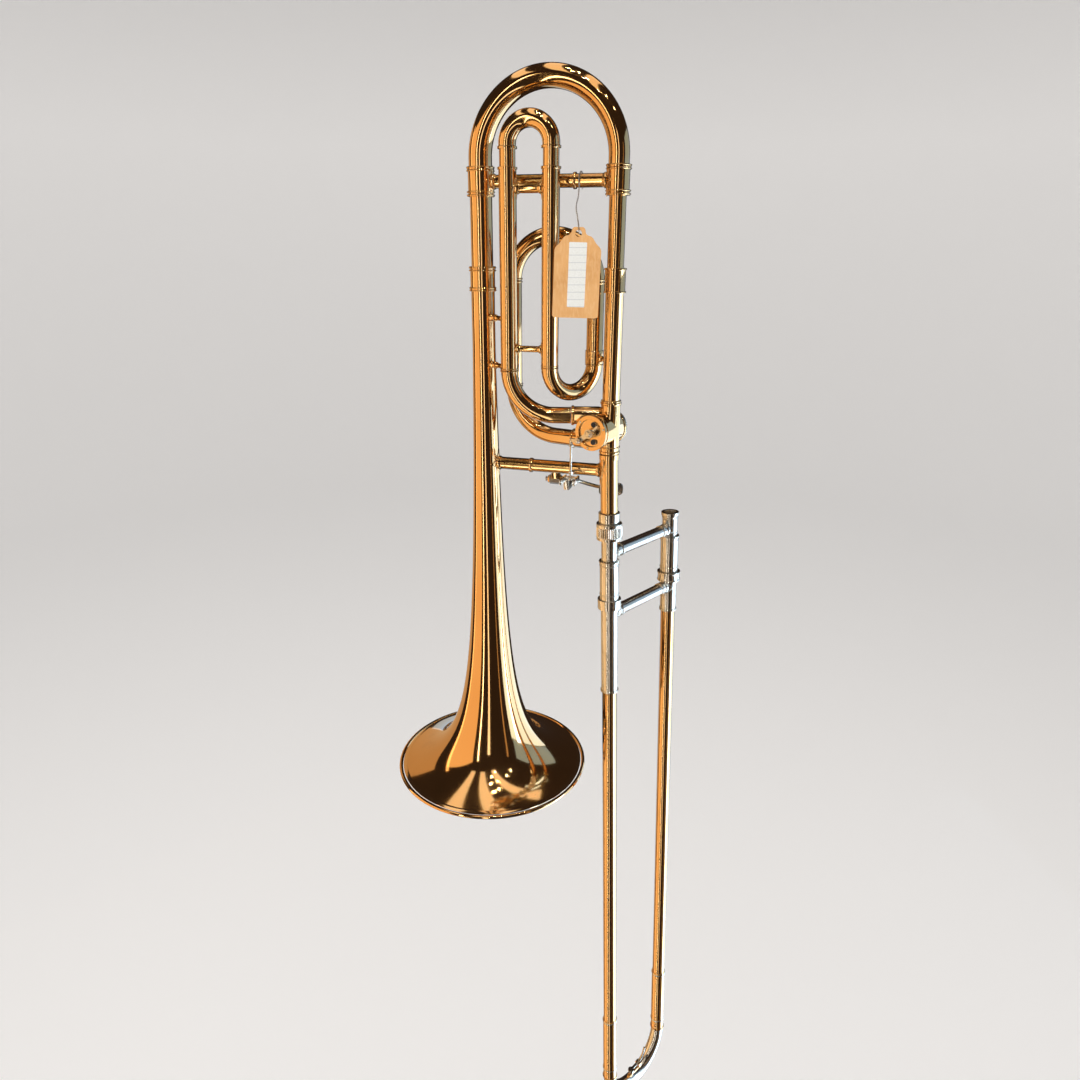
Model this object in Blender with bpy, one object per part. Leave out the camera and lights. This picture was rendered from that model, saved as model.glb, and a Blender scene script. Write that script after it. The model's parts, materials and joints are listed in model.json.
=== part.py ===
"""Tenor trombone with an F attachment, standing bell down with the hand slide closed.

The row frame has its origin at the centre of the bell's mouth, +Z up along the bell, +X from the
bell towards the neckpipe, and -Y on the side of the valve's stop arm. Lengths below are in
millimetres and angles in degrees; build() turns them into metres.
"""

import math

import bmesh
import bpy
from mathutils import Matrix, Vector

MM = 0.001
GAP = 0.3  # between faces that touch on the real instrument

# Bell: outer radius = mouth radius * ((z + flare) / flare) ** -power, down to the tail radius.
BELL_R = 105.0
BELL_FLARE = 18.3
BELL_POWER = 0.7
BELL_WALL = 0.6
BELL_TAIL_R = 10.7
BELL_TAIL_Z = 506.0
BELL_SEAM_Z = 110.0  # where the spun flare is soldered to the stem
STEM_SEAM_Z = 285.0  # between the stem's two tapers
RIM_WIRE_R = 2.0
RIM_LIP_Z = 1.2  # where the flare stops short of the rim wire

# Main tuning slide, drawn out. The neckpipe stands NECK_X from the bell.
NECK_X = 122.0
SLEEVE_TOP = 527.0
SLEEVE_LENGTH = 20.7
FERRULE_Z = 585.0
BOW_Z = 608.5
BOW_STUB = 7.0
BOW_R_BELL = 10.2
BOW_R_NECK = 8.8
LEG_R_BELL = 9.8
LEG_R_NECK = 7.3  # slides in the neckpipe, whose top is its sleeve
LEG_WALL = 0.5
FERRULE_R_BELL = 11.1
FERRULE_R_NECK = 9.6
LEG_BOTTOM = 475.0
TUNING_BRACE_Z = 597.0
TUNING_BRACE_R = 5.6
TUNING_COLLAR_X = 83.5
TUNING_COLLAR_R = 6.8

# Neckpipe and valve. The rotor turns about the valve's own axis, which runs almost along Y.
NECKPIPE_R = 8.1
PIPE_WALL = 0.5
ROTOR_X = 115.0
VALVE_TURN = -20.0  # of that axis about Z
ROTOR_Z = 384.5
CASING_R = 15.5
CASING_BORE_R = 14.0
CASING_HALF = 16.5
INLET_TOP = 411.0
OUTLET_Z = 362.0
KNUCKLE_R = 9.0
F_PORT_R = 8.3
F_PORT_X = 86.0
F_PORT_LENGTH = 25.0
ROTOR_R = 13.7
PASSAGE_R = 5.8
PASSAGE_OFFSET = 6.9
SPINDLE_R = 2.6
STOP_ARM_R = 12.0
STOP_ARM_ANGLE = 217.0
DOG_ANGLE = 45.0
BUMPER_ANGLE = 72.0
BUMPER_RADIUS = 8.5
PLATE_BACK = -19.2  # along the valve's axis, as are ARM_BACK and LINK_BACK
PLATE_R = 14.6
GUARD_R = 16.4
GUARD_BORE_R = 12.6
GUARD_HEIGHT = 2.6
ARM_BACK = -24.4

# F attachment: a front layer with the F slide and a rear layer behind the bell's plane.
FRONT_Y = -19.0
REAR_Y = 16.0
SUPPLY_X = 30.5
RETURN_X = 68.5
INNER_X = 102.0
REAR_X = 24.4
F_TUBE_R = 7.6
F_TUBE_WALL = 0.5
F_LEG_R = 6.8
F_BOW_TUBE_R = 7.4
F_TUBE_TOP = 607.0
F_LEG_BOTTOM = 520.0
F_BOW_Z = 623.0
SUPPLY_BEND_Z = 438.0
SUPPLY_PORT_Z = 397.0
REAR_BEND_Z = 418.7
REAR_PORT_Z = 373.7
UPPER_TURN = 14.0
LOWER_TURN = -12.0
LOWER_BOW_Z = 442.0
CROOK_Z = 515.0
LEG_RING_R = 8.4
F_BRACES = (("f_brace_upper", 590.5, 4.0), ("f_brace_lower", 457.7, 2.8))  # name, height, radius
F_STAYS = (("f_stay_upper", 483.0), ("f_stay_lower", 440.5))  # name, height
NECK_STAY_Z = 447.5
STAY_R = 2.2

# Bell brace, and the trigger that hinges below it. A rod hangs from the stop arm into its fork.
BELL_BRACE_Z = 345.0
BRACE_R = 6.0
HINGE_Y = 12.0
HINGE_Z = 329.0
HINGE_X = 84.0
BARREL_X = 60.0
HINGE_BARREL_R = 3.8
HINGE_BARREL_LENGTH = 18.0
HINGE_PIN_R = 1.6
HUB_X = 78.6
HUB_R = 4.2
HUB_LENGTH = 9.4
LINK_BACK = -28.0
LINK_DROP = 36.5
LINK_OFFSET = 7.0
LINK_BALL_R = 2.4
FORK_GAP = 5.2  # from the link's line to each tine: the ball swings 2.4 mm to both sides
TINE = 1.9
TINE_LENGTH = 21.0
RISER_REACH = 24.8  # from the hinge to the lever's riser, which passes the bell brace

# Hand slide: a frame of its own, tilted towards +X, whose second tube stands SLIDE_SPAN away.
SLIDE_TOP_Z = 359.0
SLIDE_TILT = 2.0
SLIDE_SPAN = 98.0
SLIDE_TURN = 60.0
INNER_R = 6.9
OUTER_R = 7.7
OUTER_BORE_R = 7.2
BARREL_R = 9.5
BARREL_BORE_R = 8.3
BARREL_TOP = 105.0
BARREL_END = 156.0
INNER_BRACE_U = 97.5
OUTER_BRACE_U = 163.0
SLEEVE_R = 8.4
LOWER_SLEEVE_END = 251.0
UPPER_SLEEVE_END = 191.5
BOW_FERRULE_U = 716.0
SLIDE_BOW_U = 816.0
SLIDE_BOW_R = 8.0
INNER_END = 800.0
RECEIVER_TOP = 79.0
RECEIVER_END = 103.4
NUT_TOP = 66.0
NUT_END = 82.2
NUT_R = 12.5
TENON_R = 7.9
LOCK_RING_R = 12.3
KEY_HINGE_OVER = 10.0
KEY_HINGE_UP = 6.6
KEY_NIPPLE_OVER = -6.0

# The hand slide's frame: down runs along the tubes, over goes to the second tube.
UP = Vector((0, 0, 1))
TILT = math.radians(SLIDE_TILT)
TURN = math.radians(SLIDE_TURN)
DOWN = Vector((math.sin(TILT), 0, -math.cos(TILT)))
OVER = Vector((math.cos(TURN), math.sin(TURN), 0))
OVER = (OVER - DOWN * OVER.dot(DOWN)).normalized()
ACROSS = DOWN.cross(OVER)
SLIDE_TOP = Vector((NECK_X, 0, SLIDE_TOP_Z))

# The valve's frame: side runs towards the neckpipe, back runs away from the stop arm.
VALVE = math.radians(VALVE_TURN)
VALVE_SIDE = Vector((math.cos(VALVE), math.sin(VALVE), 0))
VALVE_BACK = Vector((-math.sin(VALVE), math.cos(VALVE), 0))

# Price tag, hung by its wire from the tuning slide's brace.
TAG_X = 93.0
TAG_Y = -19.5
TAG_TOP = 560.0
TAG_LOW = 486.0
TAG_WIDTH = 40.0
TAG_YAW = 19.0
TAG_LEAN = 1.5
TAG_WIRE_X = 90.0
WIRE_R = 0.6

SIDES = 14
BRACE_SIDES = 12
BELL_SIDES = 24

# Finishes: base colour, metallic, roughness.
FINISHES = {
    "yellow_brass": ((0.76, 0.45, 0.14), 1.0, 0.22),
    "bell_brass": ((0.74, 0.40, 0.15), 1.0, 0.20),
    "nickel_silver": ((0.72, 0.69, 0.62), 1.0, 0.24),
    "steel": ((0.60, 0.60, 0.60), 1.0, 0.30),
    "rubber": ((0.02, 0.02, 0.02), 0.0, 0.70),
    "card": ((0.72, 0.47, 0.22), 0.0, 0.80),
}


def clear_scene():
    for old in list(bpy.data.objects):
        bpy.data.objects.remove(old, do_unlink=True)


def material(name, finish):
    colour, metallic, roughness = FINISHES[finish]
    made = bpy.data.materials.new(name)
    made.use_nodes = True
    shader = made.node_tree.nodes["Principled BSDF"]
    shader.inputs["Base Color"].default_value = (*colour, 1.0)
    shader.inputs["Metallic"].default_value = metallic
    shader.inputs["Roughness"].default_value = roughness
    made.diffuse_color = (*colour, 1.0)
    return made


def pivot(name, place):
    """An empty on a joint's axis, the parent of every object that moves with the joint."""
    empty = bpy.data.objects.new("joint_" + name, None)
    empty.location = Vector(place) * MM
    empty.empty_display_size = 0.02
    bpy.context.scene.collection.objects.link(empty)
    return empty


def face_out(bm):
    """Turns a consistently wound mesh the right way out."""
    if bm.calc_volume(signed=True) < 0:
        bmesh.ops.reverse_faces(bm, faces=bm.faces)
    return bm


def build(name, bm, finish, parent=None):
    """Makes an object from a bmesh in millimetres, with its origin at its parent empty."""
    face_out(bm)
    centre = parent.location if parent else Vector()
    bm.transform(Matrix.Translation(-centre) @ Matrix.Scale(MM, 4))
    mesh = bpy.data.meshes.new(name)
    bm.to_mesh(mesh)
    bm.free()
    mesh.shade_smooth()
    mesh.set_sharp_from_angle(angle=math.radians(35))
    made = bpy.data.objects.new(name, mesh)
    made.data.materials.append(material(name, finish))
    made.parent = parent
    bpy.context.scene.collection.objects.link(made)
    return made


def boolean(bm, other, operation):
    """The first bmesh cut by, or joined to, the second one. Both are in millimetres and closed."""
    objects = []
    for part in (bm, other):
        mesh = bpy.data.meshes.new("shape")
        face_out(part).to_mesh(mesh)
        part.free()
        shape = bpy.data.objects.new("shape", mesh)
        bpy.context.scene.collection.objects.link(shape)
        objects.append(shape)
    body, tool = objects
    modifier = body.modifiers.new("boolean", "BOOLEAN")
    modifier.object = tool
    modifier.operation = operation
    modifier.solver = "EXACT"
    bpy.context.view_layer.update()
    evaluated = body.evaluated_get(bpy.context.evaluated_depsgraph_get())
    result = bmesh.new()
    result.from_mesh(evaluated.to_mesh())
    evaluated.to_mesh_clear()
    for shape in objects:
        bpy.data.meshes.remove(shape.data)
    return result


def cut(bm, tool):
    return boolean(bm, tool, "DIFFERENCE")


def join(bm, tool):
    return boolean(bm, tool, "UNION")


def frames(points, reference, ends):
    """Two unit vectors across the path at each point, carried along it without twisting."""
    across = Vector(reference)
    last = len(points) - 1
    made = []
    for i in range(last + 1):
        along = (points[min(i + 1, last)] - points[max(i - 1, 0)]).normalized()
        if ends and i in (0, last):
            along = Vector(ends[i // last])
        across = (across - along * across.dot(along)).normalized()
        made.append((across.copy(), along.cross(across)))
    return made


def ring(bm, centre, side, up, radius, sides):
    if radius == 0:
        return [bm.verts.new(centre)] * sides
    made = []
    for k in range(sides):
        turn = 2 * math.pi * (k + 0.5) / sides
        made.append(bm.verts.new(centre + (side * math.cos(turn) + up * math.sin(turn)) * radius))
    return made


def skin(bm, rings, closed):
    """Faces between each ring and the next one, and back to the first if the section is closed."""
    pairs = list(zip(rings, rings[1:] + rings[:1])) if closed else list(zip(rings, rings[1:]))
    for first, second in pairs:
        for k in range(len(first)):
            j = (k + 1) % len(first)
            corners = []
            for vert in (first[k], first[j], second[j], second[k]):
                if vert not in corners:
                    corners.append(vert)
            if len(corners) > 2:
                bm.faces.new(corners)


def turned(base, axis, profile, sides=SIDES, reference=(1, 0, 0)):
    """A profile of (distance along the axis, radius) turned about it.

    A profile that starts and ends on the axis makes a solid; any other is closed into a ring.
    """
    bm = bmesh.new()
    axis = Vector(axis).normalized()
    side = Vector(reference)
    side = (side - axis * side.dot(axis)).normalized()
    up = axis.cross(side)
    rings = [ring(bm, Vector(base) + axis * u, side, up, r, sides) for u, r in profile]
    skin(bm, rings, closed=profile[0][1] > 0)
    return bm


def rod(start, end, radius, sides=BRACE_SIDES, reference=(0, 0, 1)):
    span = Vector(end) - Vector(start)
    if abs(span.normalized().dot(Vector(reference))) > 0.9:
        reference = (1, 0, 0)
    profile = [(0, 0), (0, radius), (span.length, radius), (span.length, 0)]
    return turned(start, span, profile, sides, reference)


def sleeve(base, axis, start, end, bore, radius, sides=SIDES, reference=(1, 0, 0)):
    profile = [(start, bore), (end, bore), (end, radius), (start, radius)]
    return turned(base, axis, profile, sides, reference)


def swept(points, outer, wall, sides=SIDES, reference=(0, 1, 0), ends=None):
    """A tube of varying radius along a path, or a solid bar where the wall is None.

    The directions in ends square the first and last faces to the pieces that they meet.
    """
    bm = bmesh.new()
    points = [Vector(point) for point in points]
    radii = outer if isinstance(outer, list) else [outer] * len(points)
    carried = list(zip(points, frames(points, reference, ends), radii))
    rings = [ring(bm, p, s, u, r, sides) for p, (s, u), r in carried]
    if wall is None:
        ends = [ring(bm, points[i], Vector(), Vector(), 0, sides) for i in (0, -1)]
        skin(bm, [ends[0]] + rings + [ends[1]], closed=False)
    else:
        bores = [ring(bm, p, s, u, r - wall, sides) for p, (s, u), r in carried]
        skin(bm, rings + bores[::-1], closed=True)
    return bm


def block(centre, size, axes=None):
    """A box; axes are the three unit vectors that its sides run along."""
    bm = bmesh.new()
    bmesh.ops.create_cube(bm, size=1.0)
    turn = Matrix.Identity(4)
    if axes:
        turn = Matrix([Vector(a) for a in axes]).transposed().to_4x4()
    bm.transform(Matrix.Translation(Vector(centre)) @ turn @ Matrix.Diagonal((*size, 1)))
    bmesh.ops.recalc_face_normals(bm, faces=bm.faces)
    return bm


def plate(outline, thickness, origin, across, up):
    """A flat outline of (across, up) points, extruded to both sides of its plane."""
    bm = bmesh.new()
    across = Vector(across)
    up = Vector(up)
    normal = across.cross(up).normalized()
    low = Vector(origin) - normal * thickness / 2
    face = bm.faces.new([bm.verts.new(low + across * a + up * b) for a, b in outline])
    grown = bmesh.ops.extrude_face_region(bm, geom=[face])["geom"]
    moved = [item for item in grown if isinstance(item, bmesh.types.BMVert)]
    bmesh.ops.translate(bm, vec=normal * thickness, verts=moved)
    bmesh.ops.recalc_face_normals(bm, faces=bm.faces)
    return bm


def arc(centre, start, finish, radius, first, last, steps):
    """Points at angles from first to last; start and finish are the directions of 0 and 90."""
    made = []
    for k in range(steps + 1):
        turn = math.radians(first + (last - first) * k / steps)
        where = Vector(start) * math.cos(turn) + Vector(finish) * math.sin(turn)
        made.append(Vector(centre) + where * radius)
    return made


def brace_between(start, end, radius, trims):
    """A bar between two tubes, its ends hollowed to sit against each of them."""
    bm = rod(start, end, radius)
    for base, axis, tube_r in trims:
        tool = rod(Vector(base) - Vector(axis) * 40, Vector(base) + Vector(axis) * 40, tube_r + GAP, 24)
        bm = cut(bm, tool)
    return bm


def bell_radius(z):
    return max(BELL_R * ((z + BELL_FLARE) / BELL_FLARE) ** -BELL_POWER, BELL_TAIL_R)


def bell_shell(heights):
    """A stretch of the bell's thin wall through these heights."""
    outer = [(z, bell_radius(z)) for z in heights]
    inner = []
    for z, r in outer:
        slope = (bell_radius(z + 0.01) - bell_radius(z)) / 0.01
        lean = math.hypot(1, slope)
        inner.append((z + BELL_WALL * slope / lean, r - BELL_WALL / lean))
    return turned((0, 0, 0), UP, outer + inner[::-1], BELL_SIDES)


def eased(low, high, steps, power):
    """Heights from low to high that stand closer together near the low end."""
    return [low + (high - low) * (k / steps) ** power for k in range(steps + 1)]


def bell_section():
    """The bell with its rim, the outer tuning tubes and the neckpipe down to the valve."""
    taper_end = BELL_FLARE * ((BELL_R / BELL_TAIL_R) ** (1 / BELL_POWER) - 1)
    seam = BELL_SEAM_Z
    build("bell_flare", bell_shell(eased(RIM_LIP_Z, seam, 10, 1.8)), "bell_brass")
    build("bell_throat", bell_shell(eased(seam + GAP, STEM_SEAM_Z, 5, 1.2)), "bell_brass")
    stem = eased(STEM_SEAM_Z + GAP, taper_end, 3, 1.0)
    build("bell_stem", bell_shell(stem + [BELL_TAIL_Z]), "bell_brass")
    build("rim_wire", turned((0, 0, 0), UP, rim_profile(), BELL_SIDES), "bell_brass")
    bell_sleeve = ringed(SLEEVE_LENGTH, LEG_R_BELL + GAP, 11.2)
    build("bell_tuning_sleeve", turned((0, 0, SLEEVE_TOP), -UP, bell_sleeve), "yellow_brass")
    neck_sleeve = ringed(SLEEVE_LENGTH, NECKPIPE_R - PIPE_WALL, 9.1)
    length = SLEEVE_TOP - INLET_TOP - GAP
    pipe = [(0, NECKPIPE_R - PIPE_WALL), (length, NECKPIPE_R - PIPE_WALL), (length, NECKPIPE_R)]
    pipe += [(SLEEVE_LENGTH, NECKPIPE_R)] + neck_sleeve[2:]
    build("neckpipe", turned((NECK_X, 0, SLEEVE_TOP), -UP, pipe), "yellow_brass")


def rim_profile():
    centre_r = BELL_R - RIM_WIRE_R
    made = []
    for k in range(8):
        turn = 2 * math.pi * k / 8
        made.append((RIM_WIRE_R * math.sin(turn), centre_r + RIM_WIRE_R * math.cos(turn)))
    return made


def ringed(length, bore, radius, bead=0.8, width=1.6):
    """A sleeve profile with a raised ring at each end."""
    return [
        (0, bore),
        (length, bore),
        (length, radius + bead),
        (length - width, radius + bead),
        (length - width, radius),
        (width, radius),
        (width, radius + bead),
        (0, radius + bead),
    ]


def f_port(turn, z, leg_x, leg_y):
    """Where an F port meets its elbow: a point at F_PORT_X and the direction into the valve."""
    into = Vector((math.cos(math.radians(turn)), math.sin(math.radians(turn)), 0))
    reach = (F_PORT_X - leg_x) / into.x
    return Vector((leg_x, leg_y, z)) + into * reach, into, reach


def at_valve(side, back, up):
    """A point in the valve's own frame, from the rotor's centre."""
    return Vector((ROTOR_X, 0, ROTOR_Z)) + VALVE_SIDE * side + VALVE_BACK * back + UP * up


def valve():
    upper, upper_into, _ = f_port(UPPER_TURN, SUPPLY_PORT_Z, SUPPLY_X, FRONT_Y)
    lower, lower_into, _ = f_port(LOWER_TURN, REAR_PORT_Z, REAR_X, REAR_Y)
    body = rod(at_valve(0, -CASING_HALF, 0), at_valve(0, CASING_HALF, 0), CASING_R, 24)
    neck = Vector((NECK_X, 0, 0))
    for start, end, radius in (
        (neck + UP * OUTLET_Z, neck + UP * INLET_TOP, KNUCKLE_R),
        (upper, upper + upper_into * F_PORT_LENGTH, F_PORT_R),
        (lower, lower + lower_into * F_PORT_LENGTH, F_PORT_R),
    ):
        body = join(body, rod(start, end, radius, SIDES))
    bores = rod(at_valve(0, -CASING_HALF - 1, 0), at_valve(0, CASING_HALF + 1, 0), CASING_BORE_R, 24)
    for start, end, radius in (
        (neck + UP * (OUTLET_Z - 1), neck + UP * (INLET_TOP + 1), NECKPIPE_R - PIPE_WALL),
        (upper - upper_into, upper + upper_into * (F_PORT_LENGTH - 2), F_TUBE_R - F_TUBE_WALL),
        (lower - lower_into, lower + lower_into * (F_PORT_LENGTH - 2), F_TUBE_R - F_TUBE_WALL),
    ):
        bores = join(bores, rod(start, end, radius, SIDES))
    build("valve_casing", cut(body, bores), "yellow_brass")

    cap = [(0, 0), (0, CASING_R), (1.8, CASING_R), (3.6, 12.5), (3.6, 0)]
    cap = turned(at_valve(0, CASING_HALF + GAP, 0), VALVE_BACK, cap, 24)
    build("valve_back_cap", cap, "nickel_silver")
    thickness = -PLATE_BACK - CASING_HALF - GAP
    stop_plate = [
        (0, SPINDLE_R + GAP),
        (thickness, SPINDLE_R + GAP),
        (thickness, PLATE_R),
        (0.5, PLATE_R),
        (0.5, GUARD_R),
        (-GUARD_HEIGHT, GUARD_R),
        (-GUARD_HEIGHT, GUARD_BORE_R),
        (0, GUARD_BORE_R),
    ]
    plate = turned(at_valve(0, PLATE_BACK, 0), VALVE_BACK, stop_plate, 24)
    build("valve_stop_plate", plate, "yellow_brass")
    turn = math.radians(BUMPER_ANGLE)
    for name, sign in (("bumper_upper", 1), ("bumper_lower", -1)):
        side = BUMPER_RADIUS * math.cos(turn)
        foot = at_valve(side, PLATE_BACK - GAP, sign * BUMPER_RADIUS * math.sin(turn))
        build(name, rod(foot, foot - VALVE_BACK * 2.2, 2.4, 10), "rubber")


def rotor_parts(parent):
    half = CASING_HALF - 0.6
    profile = [
        (ARM_BACK - 1.2, 0),
        (ARM_BACK - 1.2, SPINDLE_R),
        (-half, SPINDLE_R),
        (-half, ROTOR_R),
        (half, ROTOR_R),
        (half, 0),
    ]
    body = turned(at_valve(0, 0, 0), VALVE_BACK, profile, 24)
    for offset in (PASSAGE_OFFSET, -PASSAGE_OFFSET):
        low = at_valve(offset, 0, -20)
        high = at_valve(offset, 0, 20)
        body = cut(body, rod(low, high, PASSAGE_R, 12, (1, 0, 0)))
    build("rotor", body, "yellow_brass", parent)

    def spoke(angle):
        return VALVE_SIDE * math.cos(math.radians(angle)) + UP * math.sin(math.radians(angle))

    def along_axis(middle, start, end, radius, sides):
        return rod(middle + VALVE_BACK * start, middle + VALVE_BACK * end, radius, sides, (1, 0, 0))

    centre = at_valve(0, 0, 0)
    arm = along_axis(centre, PLATE_BACK - GAP, ARM_BACK - 1.0, 4.3, 12)
    long_way = spoke(STOP_ARM_ANGLE)
    dog_way = spoke(DOG_ANGLE)
    bar = block(
        at_valve(0, ARM_BACK - 0.2, 0) + long_way * (STOP_ARM_R / 2),
        (STOP_ARM_R, 1.6, 4.4),
        (long_way, VALVE_BACK, long_way.cross(VALVE_BACK)),
    )
    dog = block(
        at_valve(0, PLATE_BACK - 1.5, 0) + dog_way * 5.0,
        (10.0, 1.8, 2.0),
        (dog_way, VALVE_BACK, dog_way.cross(VALVE_BACK)),
    )
    pin = centre + long_way * STOP_ARM_R
    stud = along_axis(pin, ARM_BACK + 0.7, LINK_BACK - 1.8, 1.2, 10)
    boss = along_axis(pin, ARM_BACK + 0.9, ARM_BACK - 1.1, 2.9, 12)
    for piece in (bar, dog, boss, stud):
        arm = join(arm, piece)
    arm = cut(arm, along_axis(centre, 5, -40, SPINDLE_R + GAP, 24))
    build("stop_arm", arm, "nickel_silver", parent)


def link_top():
    """The stop arm's stud, in the plane of the link rod."""
    turn = math.radians(STOP_ARM_ANGLE)
    return at_valve(STOP_ARM_R * math.cos(turn), LINK_BACK, STOP_ARM_R * math.sin(turn))


def link_foot():
    return link_top() - VALVE_SIDE * LINK_OFFSET - UP * LINK_DROP


def link(parent):
    """The rod that hangs from the stop arm's stud; its ball runs in the trigger's fork."""
    top = link_top()
    foot = link_foot()
    head = rod(top + VALVE_BACK * 1.9, top - VALVE_BACK * 1.4, 3.0, 12, (1, 0, 0))
    lug_middle = top - VALVE_SIDE * (LINK_OFFSET / 2 + 0.7) + VALVE_BACK * 0.25
    lug = block(lug_middle, (LINK_OFFSET + 0.8, 3.0, 3.6), (VALVE_SIDE, VALVE_BACK, UP))
    shaft = rod(foot, foot + UP * (LINK_DROP + 1.4), 1.3, 8)
    ball = bmesh.new()
    bmesh.ops.create_icosphere(ball, subdivisions=1, radius=LINK_BALL_R)
    ball.transform(Matrix.Translation(foot))
    for piece in (lug, shaft, ball):
        head = join(head, piece)
    hole = rod(top + VALVE_BACK * 5, top - VALVE_BACK * 5, 1.6, 10, (1, 0, 0))
    build("link_rod", cut(head, hole), "nickel_silver", parent)


def trigger(parent):
    """The thumb lever on its hinge below the bell brace; its fork holds the link rod's ball."""
    foot = link_foot()
    hinge = Vector((0, HINGE_Y, HINGE_Z))
    along = Vector((1, 0, 0))
    bore = HINGE_PIN_R + GAP
    reference = (0, 0, 1)
    barrel_base = hinge + along * BARREL_X
    barrel = sleeve(barrel_base, along, 0, HINGE_BARREL_LENGTH, bore, HINGE_BARREL_R, 12, reference)
    strap = block((69, HINGE_Y - 4.9, HINGE_Z + 6.2), (9, 3.2, 8.0))
    tongue = block((69, HINGE_Y - 2.0, HINGE_Z + 3.6), (9, 4.6, 2.2))
    mount = join(join(barrel, strap), tongue)
    brace_tool = rod((40, 0, BELL_BRACE_Z), (100, 0, BELL_BRACE_Z), BRACE_R + GAP, 24)
    mount = cut(mount, brace_tool)
    hole = (hinge + along * (BARREL_X - 10), hinge + along * (HUB_X + 20), bore, 12)
    build("trigger_mount", cut(mount, rod(*hole)), "yellow_brass")
    pin = rod(hinge + along * (BARREL_X - 2), hinge + along * (HUB_X + HUB_LENGTH + 1.5), HINGE_PIN_R, 12)
    build("trigger_pin", pin, "steel")

    hub = sleeve(hinge + along * HUB_X, along, 0, HUB_LENGTH, bore, HUB_R, 12, reference)
    arm_x = HUB_X + 6.0
    rise = foot.z - HINGE_Z
    riser = RISER_REACH
    shape = [
        (3.0, -2.6),
        (riser + 1.8, -1.8),
        (riser + 4.4, rise - 3.4),
        (riser + 4.4, rise + 0.2),
        (riser + 0.8, rise + 0.2),
        (riser, 1.4),
        (3.0, 2.0),
    ]
    arm = plate(shape, 5.0, hinge + along * arm_x, (0, -1, 0), UP)
    start = arm_x - 2.6
    end = foot.x + FORK_GAP + TINE
    bridge_y = HINGE_Y - riser - 2.5
    bridge = block(((start + end) / 2, bridge_y, foot.z - 1.8), (end - start, 3.4, 3.6))
    lever = join(join(hub, arm), bridge)
    tine_y = HINGE_Y - riser - 1.2 - TINE_LENGTH / 2
    for side in (-1, 1):
        centre = (foot.x + side * (FORK_GAP + TINE / 2), tine_y, foot.z - 0.9)
        lever = join(lever, block(centre, (TINE, TINE_LENGTH, 4.6)))
    path = [
        hinge + Vector((arm_x, 2.6, 0)),
        hinge + Vector((90, 9, -3)),
        hinge + Vector((99, 14.5, -7)),
        hinge + Vector((108, 18.5, -10)),
    ]
    lever = join(lever, swept(path, 1.9, None, 8, (0, 0, 1)))
    paddle = hinge + Vector((119, 21, -12))
    pad = plate(rounded(24, 15, 5), 2.2, paddle, (0.97, 0.24, 0), (-0.1, 0.4, -0.91))
    lever = join(lever, pad)
    build("trigger_lever", cut(lever, rod(*hole)), "nickel_silver", parent)


def rounded(width, height, radius, steps=4):
    """A rectangle's outline about its centre, with round corners."""
    made = []
    for k, (sx, sy) in enumerate(((1, 1), (-1, 1), (-1, -1), (1, -1))):
        for j in range(steps + 1):
            turn = math.radians(90 * k + 90 * j / steps)
            x = sx * (width / 2 - radius) + radius * math.cos(turn)
            made.append((x, sy * (height / 2 - radius) + radius * math.sin(turn)))
    return made


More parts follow.
